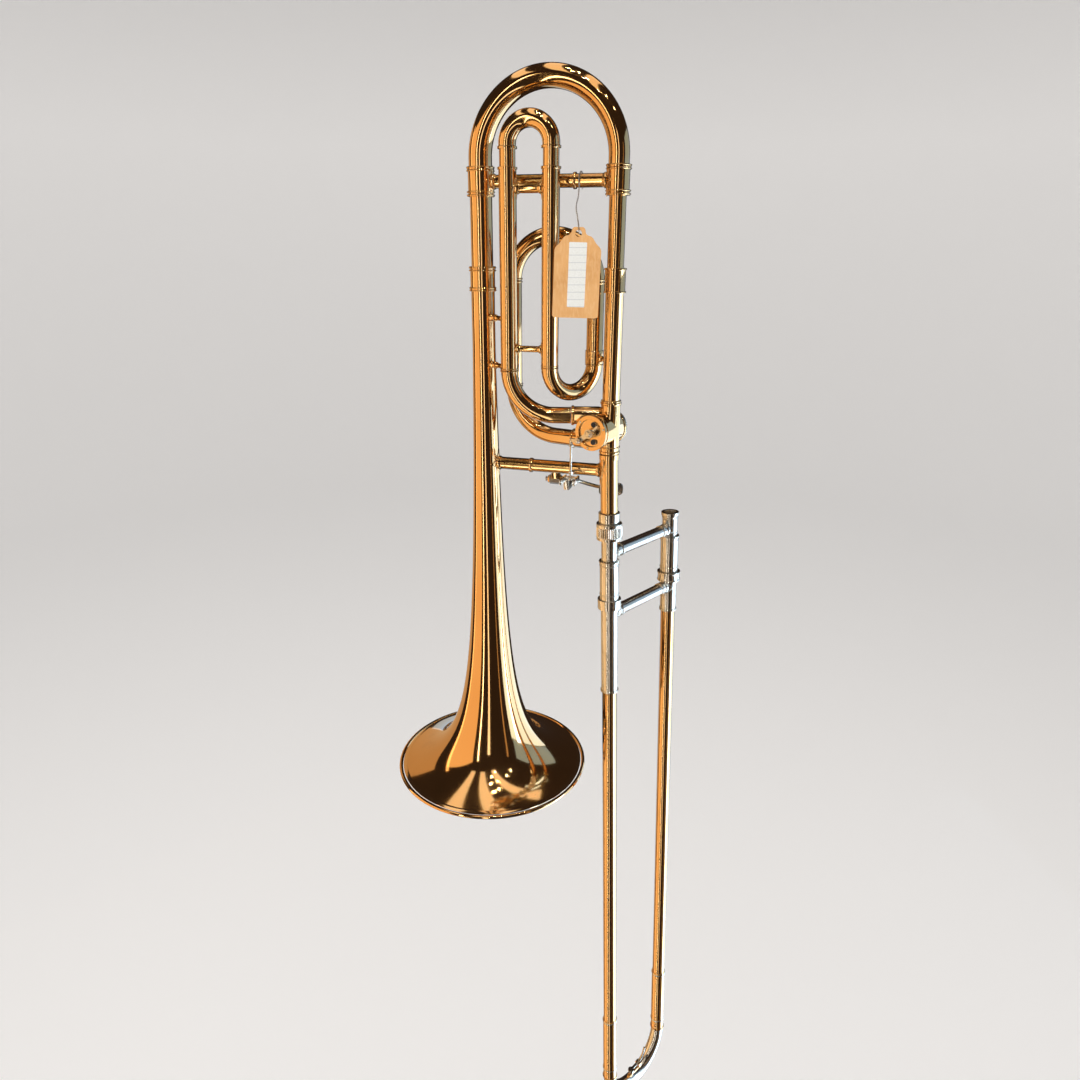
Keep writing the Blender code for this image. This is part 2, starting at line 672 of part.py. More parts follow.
def f_attachment():
    """The F tubing that is soldered up: four legs, two elbows, a low bow and a crook."""
    bore = F_TUBE_R - F_TUBE_WALL
    for name, x, low in (
        ("f_leg_supply", SUPPLY_X, SUPPLY_BEND_Z + GAP),
        ("f_leg_return", RETURN_X, LOWER_BOW_Z + GAP),
    ):
        length = F_TUBE_TOP - low
        profile = [(0, bore), (length, bore), (length, F_TUBE_R), (2.0, F_TUBE_R)]
        profile += [(2.0, LEG_RING_R), (0, LEG_RING_R)]
        build(name, turned((x, FRONT_Y, F_TUBE_TOP), -UP, profile), "yellow_brass")
    low = LOWER_BOW_Z + GAP
    length = CROOK_Z - GAP - low
    profile = [(0, bore), (length, bore), (length, F_TUBE_R), (12, F_TUBE_R)]
    profile += [(12, LEG_RING_R), (0, LEG_RING_R)]
    build("f_leg_inner", turned((INNER_X, REAR_Y, low), UP, profile), "yellow_brass")
    rear = sleeve((REAR_X, REAR_Y, 0), UP, REAR_BEND_Z + GAP, CROOK_Z - GAP, bore, F_TUBE_R)
    build("f_leg_rear", rear, "yellow_brass")

    middle = Vector(((REAR_X + INNER_X) / 2, REAR_Y, CROOK_Z))
    crook = arc(middle, (1, 0, 0), UP, (INNER_X - REAR_X) / 2, 0, 180, 12)
    crook = swept(crook, F_TUBE_R, F_TUBE_WALL, ends=(UP, -UP))
    build("f_upper_crook", crook, "yellow_brass")
    first = Vector((RETURN_X, FRONT_Y, LOWER_BOW_Z))
    last = Vector((INNER_X, REAR_Y, LOWER_BOW_Z))
    out = (first - last).normalized()
    low_bow = arc((first + last) / 2, out, -UP, (first - last).length / 2, 0, 180, 10)
    low_bow = swept(low_bow, F_TUBE_R, F_TUBE_WALL, SIDES, out, (-UP, UP))
    build("f_lower_bow", low_bow, "yellow_brass")

    for name, turn, port_z, bend_z, x, y in (
        ("f_elbow_upper", UPPER_TURN, SUPPLY_PORT_Z, SUPPLY_BEND_Z, SUPPLY_X, FRONT_Y),
        ("f_elbow_lower", LOWER_TURN, REAR_PORT_Z, REAR_BEND_Z, REAR_X, REAR_Y),
    ):
        _, into, reach = f_port(turn, port_z, x, y)
        radius = bend_z - port_z
        centre = Vector((x, y, bend_z)) + into * radius
        path = arc(centre, -into, -UP, radius, 0, 90, 7)
        path.append(Vector((x, y, port_z)) + into * (reach - GAP))
        elbow = swept(path, F_TUBE_R, F_TUBE_WALL, SIDES, into.cross(UP), (-UP, into))
        build(name, elbow, "yellow_brass")

    tube = F_TUBE_R
    for name, z, radius in F_BRACES:
        start = (SUPPLY_X, FRONT_Y, z)
        end = (RETURN_X, FRONT_Y, z)
        brace = brace_between(start, end, radius, [(start, UP, tube), (end, UP, tube)])
        build(name, brace, "yellow_brass")
    for name, z in F_STAYS:
        start = (0, 0, z)
        end = (SUPPLY_X, FRONT_Y, z)
        trims = [(start, UP, bell_radius(z - 5)), (end, UP, tube)]
        build(name, brace_between(start, end, STAY_R, trims), "yellow_brass")
    start = (INNER_X, REAR_Y, NECK_STAY_Z)
    end = (NECK_X, 0, NECK_STAY_Z)
    stay = brace_between(start, end, STAY_R, [(start, UP, LEG_RING_R), (end, UP, NECKPIPE_R)])
    build("f_stay_neck", stay, "yellow_brass")


def main_tuning_slide(parent):
    half = NECK_X / 2
    path = [Vector((NECK_X, 0, BOW_Z)), *arc((half, 0, BOW_Z + BOW_STUB), (1, 0, 0), UP, half, 0, 180, 16)]
    path.append(Vector((0, 0, BOW_Z)))
    run = len(path) - 1
    radii = [BOW_R_NECK + (BOW_R_BELL - BOW_R_NECK) * k / run for k in range(len(path))]
    build("tuning_bow", swept(path, radii, 0.6, ends=(UP, -UP)), "bell_brass", parent)
    for side, x, radius, ferrule_r in (
        ("bell", 0, LEG_R_BELL, FERRULE_R_BELL),
        ("neck", NECK_X, LEG_R_NECK, FERRULE_R_NECK),
    ):
        leg = sleeve((x, 0, 0), UP, LEG_BOTTOM, BOW_Z - GAP, radius - LEG_WALL, radius)
        build("tuning_leg_" + side, leg, "yellow_brass", parent)
        profile = ringed(BOW_Z - GAP - FERRULE_Z, radius + GAP, ferrule_r)
        ferrule = turned((x, 0, FERRULE_Z), UP, profile)
        build("tuning_ferrule_" + side, ferrule, "yellow_brass", parent)
    start = Vector((0, 0, TUNING_BRACE_Z))
    end = Vector((NECK_X, 0, TUNING_BRACE_Z))
    trims = [(start, UP, FERRULE_R_BELL), (end, UP, FERRULE_R_NECK)]
    brace = brace_between(start, end, TUNING_BRACE_R, trims)
    collar = Vector((TUNING_COLLAR_X, 0, TUNING_BRACE_Z))
    brace = join(brace, rod(collar, collar + Vector((2.4, 0, 0)), TUNING_COLLAR_R, 12))
    build("tuning_brace", brace, "yellow_brass", parent)


def f_tuning_slide(parent):
    radius = (RETURN_X - SUPPLY_X) / 2
    middle = Vector(((RETURN_X + SUPPLY_X) / 2, FRONT_Y, F_BOW_Z + 1.5))
    path = [Vector((RETURN_X, FRONT_Y, F_BOW_Z)), *arc(middle, (1, 0, 0), UP, radius, 0, 180, 10)]
    path.append(Vector((SUPPLY_X, FRONT_Y, F_BOW_Z)))
    build("f_tuning_bow", swept(path, F_BOW_TUBE_R, 0.6, ends=(UP, -UP)), "yellow_brass", parent)
    for name, x in (("f_tuning_leg_supply", SUPPLY_X), ("f_tuning_leg_return", RETURN_X)):
        length = F_BOW_Z - GAP - F_LEG_BOTTOM
        bore = F_LEG_R - 0.5
        profile = [
            (0, bore),
            (length, bore),
            (length, F_LEG_R),
            (2.0, F_LEG_R),
            (2.0, 8.3),
            (0, 8.3),
        ]
        leg = turned((x, FRONT_Y, F_BOW_Z - GAP), -UP, profile)
        build(name, leg, "yellow_brass", parent)


def slide_point(over, down):
    return SLIDE_TOP + OVER * over + DOWN * down


def along_slide(over, profile, sides=SIDES):
    return turned(slide_point(over, 0), DOWN, profile, sides, OVER)


def tube_profile(start, end, bore, radius):
    return [(start, bore), (end, bore), (end, radius), (start, radius)]


def slide_joint():
    """The gooseneck under the valve and the receiver that the hand slide plugs into."""
    pipe = [(-2.4, 7.9), (55.0, 7.9), (55.0, 8.5), (2.5, 8.5), (2.5, 9.4), (-2.4, 9.4)]
    build("gooseneck", along_slide(0, pipe), "yellow_brass")
    receiver = [(55.4, 8.2), (80.0, 8.2), (80.0, 9.6), (64.0, 9.6), (64.0, 10.4), (55.4, 10.4)]
    build("slide_receiver", along_slide(0, receiver), "nickel_silver")
    bell = Vector((0, 0, BELL_BRACE_Z))
    neck = slide_point(0, (SLIDE_TOP_Z - BELL_BRACE_Z) / math.cos(TILT))
    trims = [(bell, UP, bell_radius(BELL_BRACE_Z - 6)), (neck, DOWN, 8.5)]
    build("bell_brace", brace_between(bell, neck, BRACE_R, trims), "yellow_brass")


def lock_nut(parent):
    shoulder = NUT_END - 1.9
    profile = [(NUT_TOP, 9.9), (shoulder, 9.9), (shoulder, 8.3), (NUT_END, 8.3)]
    profile += [(NUT_END, NUT_R), (NUT_TOP, NUT_R)]
    build("bell_lock_nut", along_slide(0, profile, 24), "nickel_silver", parent)


def barrel_profile(end_r):
    """A cork barrel: shut round the inner tube at its top, open below for the outer one."""
    shut = BARREL_TOP + 6
    flange = BARREL_END - 10.4
    return [
        (BARREL_TOP, INNER_R + GAP),
        (shut, INNER_R + GAP),
        (shut, BARREL_BORE_R),
        (BARREL_END, BARREL_BORE_R),
        (BARREL_END, end_r),
        (flange, end_r),
        (flange, BARREL_R),
        (BARREL_TOP + 1.8, BARREL_R),
        (BARREL_TOP + 1.8, 10.3),
        (BARREL_TOP, 10.3),
    ]


def inner_slide(parent):
    tenon = tube_profile(58, BARREL_TOP - GAP, OUTER_BORE_R, TENON_R)
    build("slide_tenon", along_slide(0, tenon), "nickel_silver", parent)
    tubes = (("inner_tube_lower", 0, 60.0), ("inner_tube_upper", SLIDE_SPAN, BARREL_TOP - 1))
    for name, over, top in tubes:
        tube = tube_profile(top, INNER_END, INNER_R - 0.5, INNER_R)
        build(name, along_slide(over, tube), "nickel_silver", parent)
    for name, over, end_r in (("cork_barrel_lower", 0, 11.75), ("cork_barrel_upper", SLIDE_SPAN, 8.9)):
        build(name, along_slide(over, barrel_profile(end_r)), "nickel_silver", parent)
    socket = [
        (RECEIVER_TOP, 6.2),
        (RECEIVER_END, 5.6),
        (RECEIVER_END, 8.2),
        (RECEIVER_TOP + 3.5, 8.2),
        (RECEIVER_TOP + 3.5, 9.3),
        (RECEIVER_TOP, 9.3),
    ]
    build("mouthpiece_receiver", along_slide(SLIDE_SPAN, socket), "nickel_silver", parent)
    start = slide_point(0, INNER_BRACE_U)
    end = slide_point(SLIDE_SPAN, INNER_BRACE_U)
    brace = brace_between(start, end, BRACE_R, [(start, DOWN, TENON_R), (end, DOWN, 8.2)])
    build("inner_brace", brace, "nickel_silver", parent)


def lock_ring(parent):
    start = BARREL_END - 10.1
    body = along_slide(SLIDE_SPAN, tube_profile(start, BARREL_END, 9.2, LOCK_RING_R), 24)
    tab = slide_point(SLIDE_SPAN + LOCK_RING_R + GAP, start + 6.5)
    body = join(body, block(tab, (4.2, 5.0, 5.4), (OVER, ACROSS, DOWN)))
    build("slide_lock_ring", body, "nickel_silver", parent)


def outer_slide(parent):
    top = BARREL_TOP + 12
    for name, over, sleeve_end in (
        ("outer_tube_lower", 0, LOWER_SLEEVE_END),
        ("outer_tube_upper", SLIDE_SPAN, UPPER_SLEEVE_END),
    ):
        shoulder = BARREL_END + 0.8
        profile = [
            (top, OUTER_BORE_R),
            (SLIDE_BOW_U - GAP, OUTER_BORE_R),
            (SLIDE_BOW_U - GAP, 9.2),
            (SLIDE_BOW_U - 2.0, 9.2),
            (SLIDE_BOW_U - 2.0, SLEEVE_R),
            (BOW_FERRULE_U, SLEEVE_R),
            (BOW_FERRULE_U, OUTER_R),
            (sleeve_end, OUTER_R),
            (sleeve_end, 9.2),
            (sleeve_end - 2.0, 9.2),
            (sleeve_end - 2.0, SLEEVE_R),
            (shoulder, SLEEVE_R),
            (shoulder, OUTER_R),
            (top, OUTER_R),
        ]
        build(name, along_slide(over, profile), "yellow_brass", parent)
    start = slide_point(0, OUTER_BRACE_U)
    end = slide_point(SLIDE_SPAN, OUTER_BRACE_U)
    trims = [(start, DOWN, SLEEVE_R), (end, DOWN, SLEEVE_R)]
    build("outer_brace", brace_between(start, end, BRACE_R, trims), "nickel_silver", parent)

    half = SLIDE_SPAN / 2
    centre = slide_point(half, SLIDE_BOW_U)
    path = arc(centre, -OVER, DOWN, half, 0, 180, 14)
    build("slide_bow", swept(path, SLIDE_BOW_R, 0.6, SIDES, OVER, (DOWN, -DOWN)), "nickel_silver", parent)
    foot = slide_point(half, SLIDE_BOW_U + half + SLIDE_BOW_R + GAP)
    bumper = [(0, 0), (0, 4.2), (2.5, 5.6), (8.0, 6.4), (9.5, 5.6), (9.5, 0)]
    build("bow_bumper", turned(foot, DOWN, bumper, SIDES, OVER), "rubber", parent)


def in_bow(over, up, side=0.0):
    """A point inside the slide's bow: over from its middle, up from its floor."""
    down = SLIDE_BOW_U + SLIDE_SPAN / 2 - SLIDE_BOW_R - up
    return slide_point(SLIDE_SPAN / 2 + over, down) + ACROSS * side


def water_key(slide_parent, key_parent):
    """The spit valve inside the bow: a nipple and ears soldered on, and a sprung lever."""
    axes = (OVER, ACROSS, DOWN)
    hinge = KEY_HINGE_OVER
    nipple_over = KEY_NIPPLE_OVER
    base = block(in_bow(2, 1.2), (24, 5.0, 5.0), axes)
    nipple = rod(in_bow(nipple_over, 0.5), in_bow(nipple_over, 6.0), 3.0, 12, OVER)
    ears = block(in_bow(hinge, 5.0), (5.0, 7.4, 8.0), axes)
    body = join(join(base, nipple), ears)
    body = cut(body, block(in_bow(hinge, 7.4), (9.0, 4.2, 6.4), axes))
    half = SLIDE_SPAN / 2
    bow = arc(slide_point(half, SLIDE_BOW_U), -OVER, DOWN, half, 30, 150, 24)
    body = cut(body, swept(bow, SLIDE_BOW_R + GAP, None, 24, OVER))
    body = cut(body, rod(in_bow(hinge, KEY_HINGE_UP, -9), in_bow(hinge, KEY_HINGE_UP, 9), 0.9, 8, OVER))
    build("water_key_mount", body, "yellow_brass", slide_parent)

    lever = rod(in_bow(hinge, KEY_HINGE_UP, -1.7), in_bow(hinge, KEY_HINGE_UP, 1.7), 1.9, 10, OVER)
    pad_arm = block(in_bow(2.0, 8.9), (18.0, 3.2, 1.6), axes)
    cup = rod(in_bow(nipple_over, 6.4), in_bow(nipple_over, 9.7), 4.0, 12, OVER)
    path = [in_bow(9.5, 7.5), in_bow(15, 11), in_bow(19.5, 17), in_bow(22, 24)]
    for piece in (pad_arm, cup, swept(path, 1.5, None, 8, ACROSS)):
        lever = join(lever, piece)
    build("water_key", lever, "nickel_silver", key_parent)


def tag(parent):
    """A card price tag that hangs by a twisted wire from the tuning slide's brace."""
    yaw = math.radians(TAG_YAW)
    across = Vector((math.cos(yaw), math.sin(yaw), 0))
    lean = math.radians(TAG_LEAN)
    normal = across.cross(UP)
    up = UP * math.cos(lean) + across * math.sin(lean)
    across = up.cross(normal)
    height = TAG_TOP - TAG_LOW
    hole = Vector((TAG_X, TAG_Y, TAG_TOP - 5.0))
    origin = hole - up * (height - 5.0)
    half = TAG_WIDTH / 2
    right = [(half - 3, 0), (half, 3), (half, height - 18), (half - 5, height - 14)]
    right += [(half - 8, height - 8), (half - 14, height - 6), (half - 15, height - 2), (3, height)]
    outline = right + [(-a, b) for a, b in reversed(right)]
    card = plate(outline, 0.6, origin, across, up)
    card = cut(card, rod(hole - normal * 3, hole + normal * 3, 2.8, 10))
    build("tag_card", card, "card", parent)

    brace = Vector((TAG_WIRE_X, 0, TUNING_BRACE_Z))
    loop = arc(brace, (0, -1, 0), UP, TUNING_BRACE_R + 1.4, -50, 250, 14)
    drift = [point + Vector((1.4 * k / 14 - 0.7, 0, 0)) for k, point in enumerate(loop)]
    path = drift[::-1]
    path.append(brace + Vector((-0.4, -8.2, -13)))
    path.append(brace + Vector((-1.6, -10.0, -21)))
    path.append(brace + Vector((0.6, -13.5, -30)))
    path.append(hole + normal * 3.4 + UP * 3.0)
    path.append(hole + normal * 2.2)
    path.append(hole - normal * 2.0)
    build("tag_wire", swept(path, WIRE_R, None, 6, (1, 0, 0)), "steel", parent)


def main():
    clear_scene()
    bell_section()
    valve()
    f_attachment()
    slide_joint()

    main_tuning_slide(pivot("main_tuning_slide", (NECK_X / 2, 0, SLEEVE_TOP)))
    f_tuning_slide(pivot("f_tuning_slide", (SUPPLY_X, FRONT_Y, F_TUBE_TOP)))
    rotor_parts(pivot("rotor", at_valve(0, 0, 0)))
    link(pivot("link_rod", link_top()))
    trigger(pivot("trigger", (HINGE_X, HINGE_Y, HINGE_Z)))

    lock_nut(pivot("bell_lock_nut", slide_point(0, 74)))
    inner_slide(pivot("inner_slide", slide_point(0, 80)))
    lock_ring(pivot("slide_lock_ring", slide_point(SLIDE_SPAN, BARREL_END - 5)))
    slide_parent = pivot("outer_slide", slide_point(0, BARREL_END))
    outer_slide(slide_parent)
    water_key(slide_parent, pivot("water_key", in_bow(KEY_HINGE_OVER, KEY_HINGE_UP)))
    tag(pivot("tag", (TAG_WIRE_X, 0, TUNING_BRACE_Z)))


main()
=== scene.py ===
"""The looks of a tenor trombone with an F attachment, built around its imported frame.

Lengths are in metres, in the frame's own axes: +Z up along the bell from the centre of its mouth, +X
from the bell to the neckpipe, -Y on the side of the valve's stop arm. Small sizes are written in
millimetres and multiplied by MM.
"""

import json
import math

import bmesh
import bpy
from mathutils import Matrix, Vector

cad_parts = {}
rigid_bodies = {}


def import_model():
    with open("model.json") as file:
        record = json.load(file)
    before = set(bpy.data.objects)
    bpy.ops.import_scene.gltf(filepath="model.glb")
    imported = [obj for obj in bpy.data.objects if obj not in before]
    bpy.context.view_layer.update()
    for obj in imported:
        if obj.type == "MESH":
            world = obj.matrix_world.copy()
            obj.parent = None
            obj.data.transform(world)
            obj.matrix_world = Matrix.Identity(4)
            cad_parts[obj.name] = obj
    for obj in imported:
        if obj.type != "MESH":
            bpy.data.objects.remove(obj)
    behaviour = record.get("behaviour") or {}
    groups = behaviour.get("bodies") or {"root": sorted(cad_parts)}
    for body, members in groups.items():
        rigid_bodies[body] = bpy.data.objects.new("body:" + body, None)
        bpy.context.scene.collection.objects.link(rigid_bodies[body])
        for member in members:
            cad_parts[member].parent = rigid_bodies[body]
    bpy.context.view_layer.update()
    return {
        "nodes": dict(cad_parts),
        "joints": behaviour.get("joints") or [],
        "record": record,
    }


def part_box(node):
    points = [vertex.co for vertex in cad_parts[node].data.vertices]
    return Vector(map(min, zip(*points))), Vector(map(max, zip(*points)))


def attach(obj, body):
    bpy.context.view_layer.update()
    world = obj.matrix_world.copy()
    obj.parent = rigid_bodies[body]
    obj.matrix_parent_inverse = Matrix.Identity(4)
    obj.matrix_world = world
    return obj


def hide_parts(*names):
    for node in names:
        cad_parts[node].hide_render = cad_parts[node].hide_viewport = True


MM = 0.001
UP = Vector((0, 0, 1))
ASIDE = Vector((1, 0, 0))
BACK = Vector((0, 1, 0))

for old in list(bpy.data.objects):
    bpy.data.objects.remove(old, do_unlink=True)

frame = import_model()

# The camera, solved from the photograph's perspective.
CAMERA_PLACE = Vector((0.254437, -0.729795, 0.551007))
CAMERA_TURN = math.radians(15.2943)
CAMERA_PITCH = math.radians(20.5024)
CAMERA_ROLL = math.radians(0.1934)
CAMERA_LENS = 26.90
SENSOR = 36.0

# The hand slide's directions and one point on each of its two lines.
JOINTS = {joint["name"]: joint for joint in frame["joints"]}
DOWN = Vector(JOINTS["hand_slide_travel"]["axis"]).normalized()
ACROSS = -Vector(JOINTS["water_key_press"]["axis"]).normalized()
OVER = ACROSS.cross(DOWN).normalized()
LOWER_LINE = Vector(JOINTS["hand_slide_swivel"]["pos_m"])
UPPER_LINE = Vector(JOINTS["slide_lock_turn"]["pos_m"])

BODY_OF = {}
for body_name, members in frame["record"]["behaviour"]["bodies"].items():
    for member in members:
        BODY_OF[member] = body_name
SLOT_OF = {part["node"]: part["material_slot"] for part in frame["record"]["subparts"]}

TUBE_SIDES = 56
BELL_SIDES = 144
SMALL_SIDES = 28
SOFT_EDGE = 0.25 * MM


def middle(node):
    low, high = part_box(node)
    return (low + high) / 2


def top(node):
    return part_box(node)[1].z


def bottom(node):
    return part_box(node)[0].z


# ---------------- materials


class Nodes:
    """A short way to write a material's node tree."""

    def __init__(self, name):
        self.material = bpy.data.materials.new(name)
        self.material.use_nodes = True
        self.tree = self.material.node_tree
        self.shader = self.tree.nodes["Principled BSDF"]
        self.place = self.node("ShaderNodeTexCoord").outputs["Object"]

    def node(self, kind, **values):
        made = self.tree.nodes.new(kind)
        for key, value in values.items():
            setattr(made, key, value)
        return made

    def put(self, socket, value):
        """Joins an output to a socket, or sets the socket's own value."""
        if isinstance(value, bpy.types.NodeSocket):
            self.tree.links.new(value, socket)
        else:
            socket.default_value = value

    def shade(self, **values):
        for key, value in values.items():
            self.put(self.shader.inputs[key.replace("_", " ")], value)

    def scaled(self, scale, turn=(0, 0, 0)):
        mapping = self.node("ShaderNodeMapping")
        self.put(mapping.inputs["Vector"], self.place)
        self.put(mapping.inputs["Scale"], scale)
        self.put(mapping.inputs["Rotation"], turn)
        return mapping.outputs["Vector"]

    def noise(self, scale, detail=4.0, stretch=(1, 1, 1), roughness=0.55, distortion=0.0):
        texture = self.node("ShaderNodeTexNoise")
        self.put(texture.inputs["Vector"], self.scaled(stretch))
        self.put(texture.inputs["Scale"], scale)
        self.put(texture.inputs["Detail"], detail)
        self.put(texture.inputs["Roughness"], roughness)
        self.put(texture.inputs["Distortion"], distortion)
        return texture.outputs["Fac"]

    def specks(self, scale, size):
        """Small round spots, 1 at their middle and 0 outside size, a share of the cell."""
        texture = self.node("ShaderNodeTexVoronoi")
        self.put(texture.inputs["Vector"], self.scaled((1, 1, 1)))
        self.put(texture.inputs["Scale"], scale)
        return self.ramp(texture.outputs["Distance"], [(0.0, 1.0), (size, 0.0)])

    def ramp(self, value, stops):
        """Greys or colours at places along a value."""
        made = self.node("ShaderNodeValToRGB")
        while len(made.color_ramp.elements) < len(stops):
            made.color_ramp.elements.new(0.5)
        for element, (place, colour) in zip(made.color_ramp.elements, stops):
            element.position = place
            grey = isinstance(colour, (int, float))
            element.color = (colour, colour, colour, 1) if grey else (*colour, 1)
        self.put(made.inputs["Fac"], value)
        return made.outputs["Color"]

    def mix(self, amount, first, second):
        made = self.node("ShaderNodeMix", data_type="RGBA")
        self.put(made.inputs["Factor"], amount)
        for letter, colour in (("A", first), ("B", second)):
            linked = isinstance(colour, bpy.types.NodeSocket)
            self.put(made.inputs[letter], colour if linked else (*colour, 1))
        return made.outputs["Result"]

    def math(self, operation, first, second):
        made = self.node("ShaderNodeMath", operation=operation)
        self.put(made.inputs[0], first)
        self.put(made.inputs[1], second)
        return made.outputs["Value"]

    def times(self, first, second):
        return self.math("MULTIPLY", first, second)

    def plus(self, first, second):
        return self.math("ADD", first, second)

    def spread(self, value, low, high):
        """A value from 0 to 1 stretched to run from low to high."""
        made = self.node("ShaderNodeMapRange")
        self.put(made.inputs["Value"], value)
        self.put(made.inputs["To Min"], low)
        self.put(made.inputs["To Max"], high)
        return made.outputs["Result"]

    def bump(self, height, distance, strength=1.0):
        made = self.node("ShaderNodeBump")
        self.put(made.inputs["Height"], height)
        self.put(made.inputs["Distance"], distance)
        self.put(made.inputs["Strength"], strength)
        self.put(self.shader.inputs["Normal"], made.outputs["Normal"])

    def edge_wear(self, low=0.53, high=0.60):
        """Near 1 along convex edges and 0 on flat or hollow ones."""
        geometry = self.node("ShaderNodeNewGeometry")
        return self.ramp(geometry.outputs["Pointiness"], [(low, 0.0), (high, 1.0)])


def brass(name, light, dark, rough):
    """Lacquered brass: a warm tint that drifts, fine polishing lines, dull spots and small tarnish."""
    m = Nodes(name)
    drift = m.noise(7.0, 3.0)
    cloud = m.noise(34.0, 5.0, stretch=(1, 1, 0.35), distortion=0.6)
    base = m.mix(m.ramp(drift, [(0.32, 0.0), (0.68, 1.0)]), dark, light)
    base = m.mix(m.ramp(cloud, [(0.56, 0.0), (0.78, 0.45)]), base, tuple(0.72 * c for c in dark))
    patches = m.ramp(m.noise(18.0, 2.0), [(0.5, 0.0), (0.62, 1.0)])
    spots = m.times(m.specks(260.0, 0.16), patches)
    base = m.mix(m.times(spots, 0.3), base, (0.16, 0.07, 0.025))
    base = m.mix(m.times(m.edge_wear(), 0.35), base, (0.86, 0.66, 0.38))
    lines = m.noise(900.0, 2.0, stretch=(1, 1, 0.03))
    smear = m.noise(22.0, 4.0, stretch=(1, 1, 0.5))
    rough_map = m.plus(m.spread(smear, rough * 0.7, rough * 1.5), m.times(spots, 0.2))
    rough_map = m.plus(rough_map, m.times(lines, 0.03))
    m.shade(Base_Color=base, Metallic=1.0, Roughness=rough_map)
    m.shade(Coat_Weight=1.0, Coat_Roughness=0.04, Coat_IOR=1.8)
    m.bump(m.plus(m.times(lines, 0.25), m.noise(60.0, 3.0)), 0.00004, 0.25)
    return m.material


def nickel(name, light, dark, rough):
    """Polished nickel silver: cool grey with a yellowish bloom, hairline scratches and handled patches."""
    m = Nodes(name)
    bloom = m.noise(26.0, 4.0, distortion=0.4)
    base = m.mix(m.ramp(bloom, [(0.38, 0.0), (0.66, 1.0)]), light, dark)
    hair = m.noise(1400.0, 2.0, stretch=(1, 1, 0.05))
    pits = m.specks(420.0, 0.12)
    base = m.mix(m.times(pits, 0.35), base, (0.22, 0.19, 0.15))
    base = m.mix(m.times(m.edge_wear(), 0.3), base, (0.92, 0.90, 0.86))
    handled = m.noise(40.0, 4.0)
    rough_map = m.plus(m.spread(handled, rough * 0.7, rough * 1.6), m.times(hair, 0.05))
    m.shade(Base_Color=base, Metallic=1.0, Roughness=rough_map)
    m.bump(m.plus(m.times(hair, 0.4), m.times(pits, -0.5)), 0.00003, 0.3)
    return m.material


def rubber(name):
    m = Nodes(name)
    grain = m.noise(900.0, 3.0)
    dust = m.noise(55.0, 4.0)
    base = m.mix(m.ramp(dust, [(0.45, 0.0), (0.75, 0.5)]), (0.018, 0.017, 0.016), (0.07, 0.065, 0.06))
    m.shade(Base_Color=base, Roughness=m.spread(grain, 0.55, 0.8), Specular_IOR_Level=0.35)
    m.bump(grain, 0.0001, 0.4)
    return m.material


def cork(name):
    m = Nodes(name)
    grain = m.specks(900.0, 0.5)
    base = m.mix(grain, (0.52, 0.31, 0.14), (0.27, 0.14, 0.06))
    m.shade(Base_Color=base, Roughness=0.85)
    m.bump(grain, 0.0002, 0.5)
    return m.material


def card(name):
    """Manila card with short fibres, soft staining and paler worn edges."""
    m = Nodes(name)
    fibre = m.noise(700.0, 5.0, stretch=(1, 1, 0.25))
    stain = m.noise(45.0, 3.0)
    base = m.mix(m.ramp(stain, [(0.35, 0.0), (0.7, 1.0)]), (0.74, 0.40, 0.155), (0.64, 0.325, 0.115))
    base = m.mix(m.ramp(fibre, [(0.45, 0.0), (0.75, 0.5)]), base, (0.83, 0.56, 0.30))
    base = m.mix(m.times(m.specks(500.0, 0.12), 0.4), base, (0.38, 0.2, 0.09))
    m.shade(Base_Color=base, Roughness=m.spread(fibre, 0.7, 0.95), Specular_IOR_Level=0.25)
    m.bump(fibre, 0.00008, 0.5)
    return m.material


def label(name):
    """White sticker paper with faint blank ruled lines."""
    m = Nodes(name)
    fibre = m.noise(900.0, 4.0)
    wave = m.node("ShaderNodeTexWave", wave_type="BANDS", bands_direction="Z")
    m.put(wave.inputs["Vector"], m.scaled((1, 1, 1)))
    m.put(wave.inputs["Scale"], 52.0)
    m.put(wave.inputs["Distortion"], 0.0)
    rule = m.ramp(wave.outputs["Fac"], [(0.0, 1.0), (0.05, 0.0)])
    paper = m.mix(m.ramp(fibre, [(0.3, 0.0), (0.8, 1.0)]), (0.80, 0.81, 0.78), (0.70, 0.70, 0.66))
    base = m.mix(m.times(rule, 0.45), paper, (0.34, 0.36, 0.40))
    m.shade(Base_Color=base, Roughness=m.spread(fibre, 0.5, 0.7), Specular_IOR_Level=0.35)
    m.bump(fibre, 0.00004, 0.3)
    return m.material


MATERIALS = {
    "yellow_brass": brass("lacquered_yellow_brass", (0.84, 0.54, 0.215), (0.77, 0.45, 0.155), 0.095),
    "bell_brass": brass("lacquered_bell_brass", (0.84, 0.52, 0.205), (0.75, 0.43, 0.145), 0.065),
    "nickel_silver": nickel("polished_nickel_silver", (0.80, 0.775, 0.72), (0.66, 0.62, 0.54), 0.15),
    "steel": nickel("bright_steel_wire", (0.62, 0.62, 0.62), (0.45, 0.44, 0.42), 0.25),
    "rubber": rubber("black_rubber"),
    "card": card("manila_card"),
}
CORK = cork("pressed_cork")
LABEL = label("white_label_paper")


# ---------------- meshes


def linked_object(name, bm):
    """An object in the scene that holds the bmesh, which is freed."""
    mesh = bpy.data.meshes.new(name)
    bm.to_mesh(mesh)
    bm.free()
    made = bpy.data.objects.new(name, mesh)
    bpy.context.scene.collection.objects.link(made)
    return made


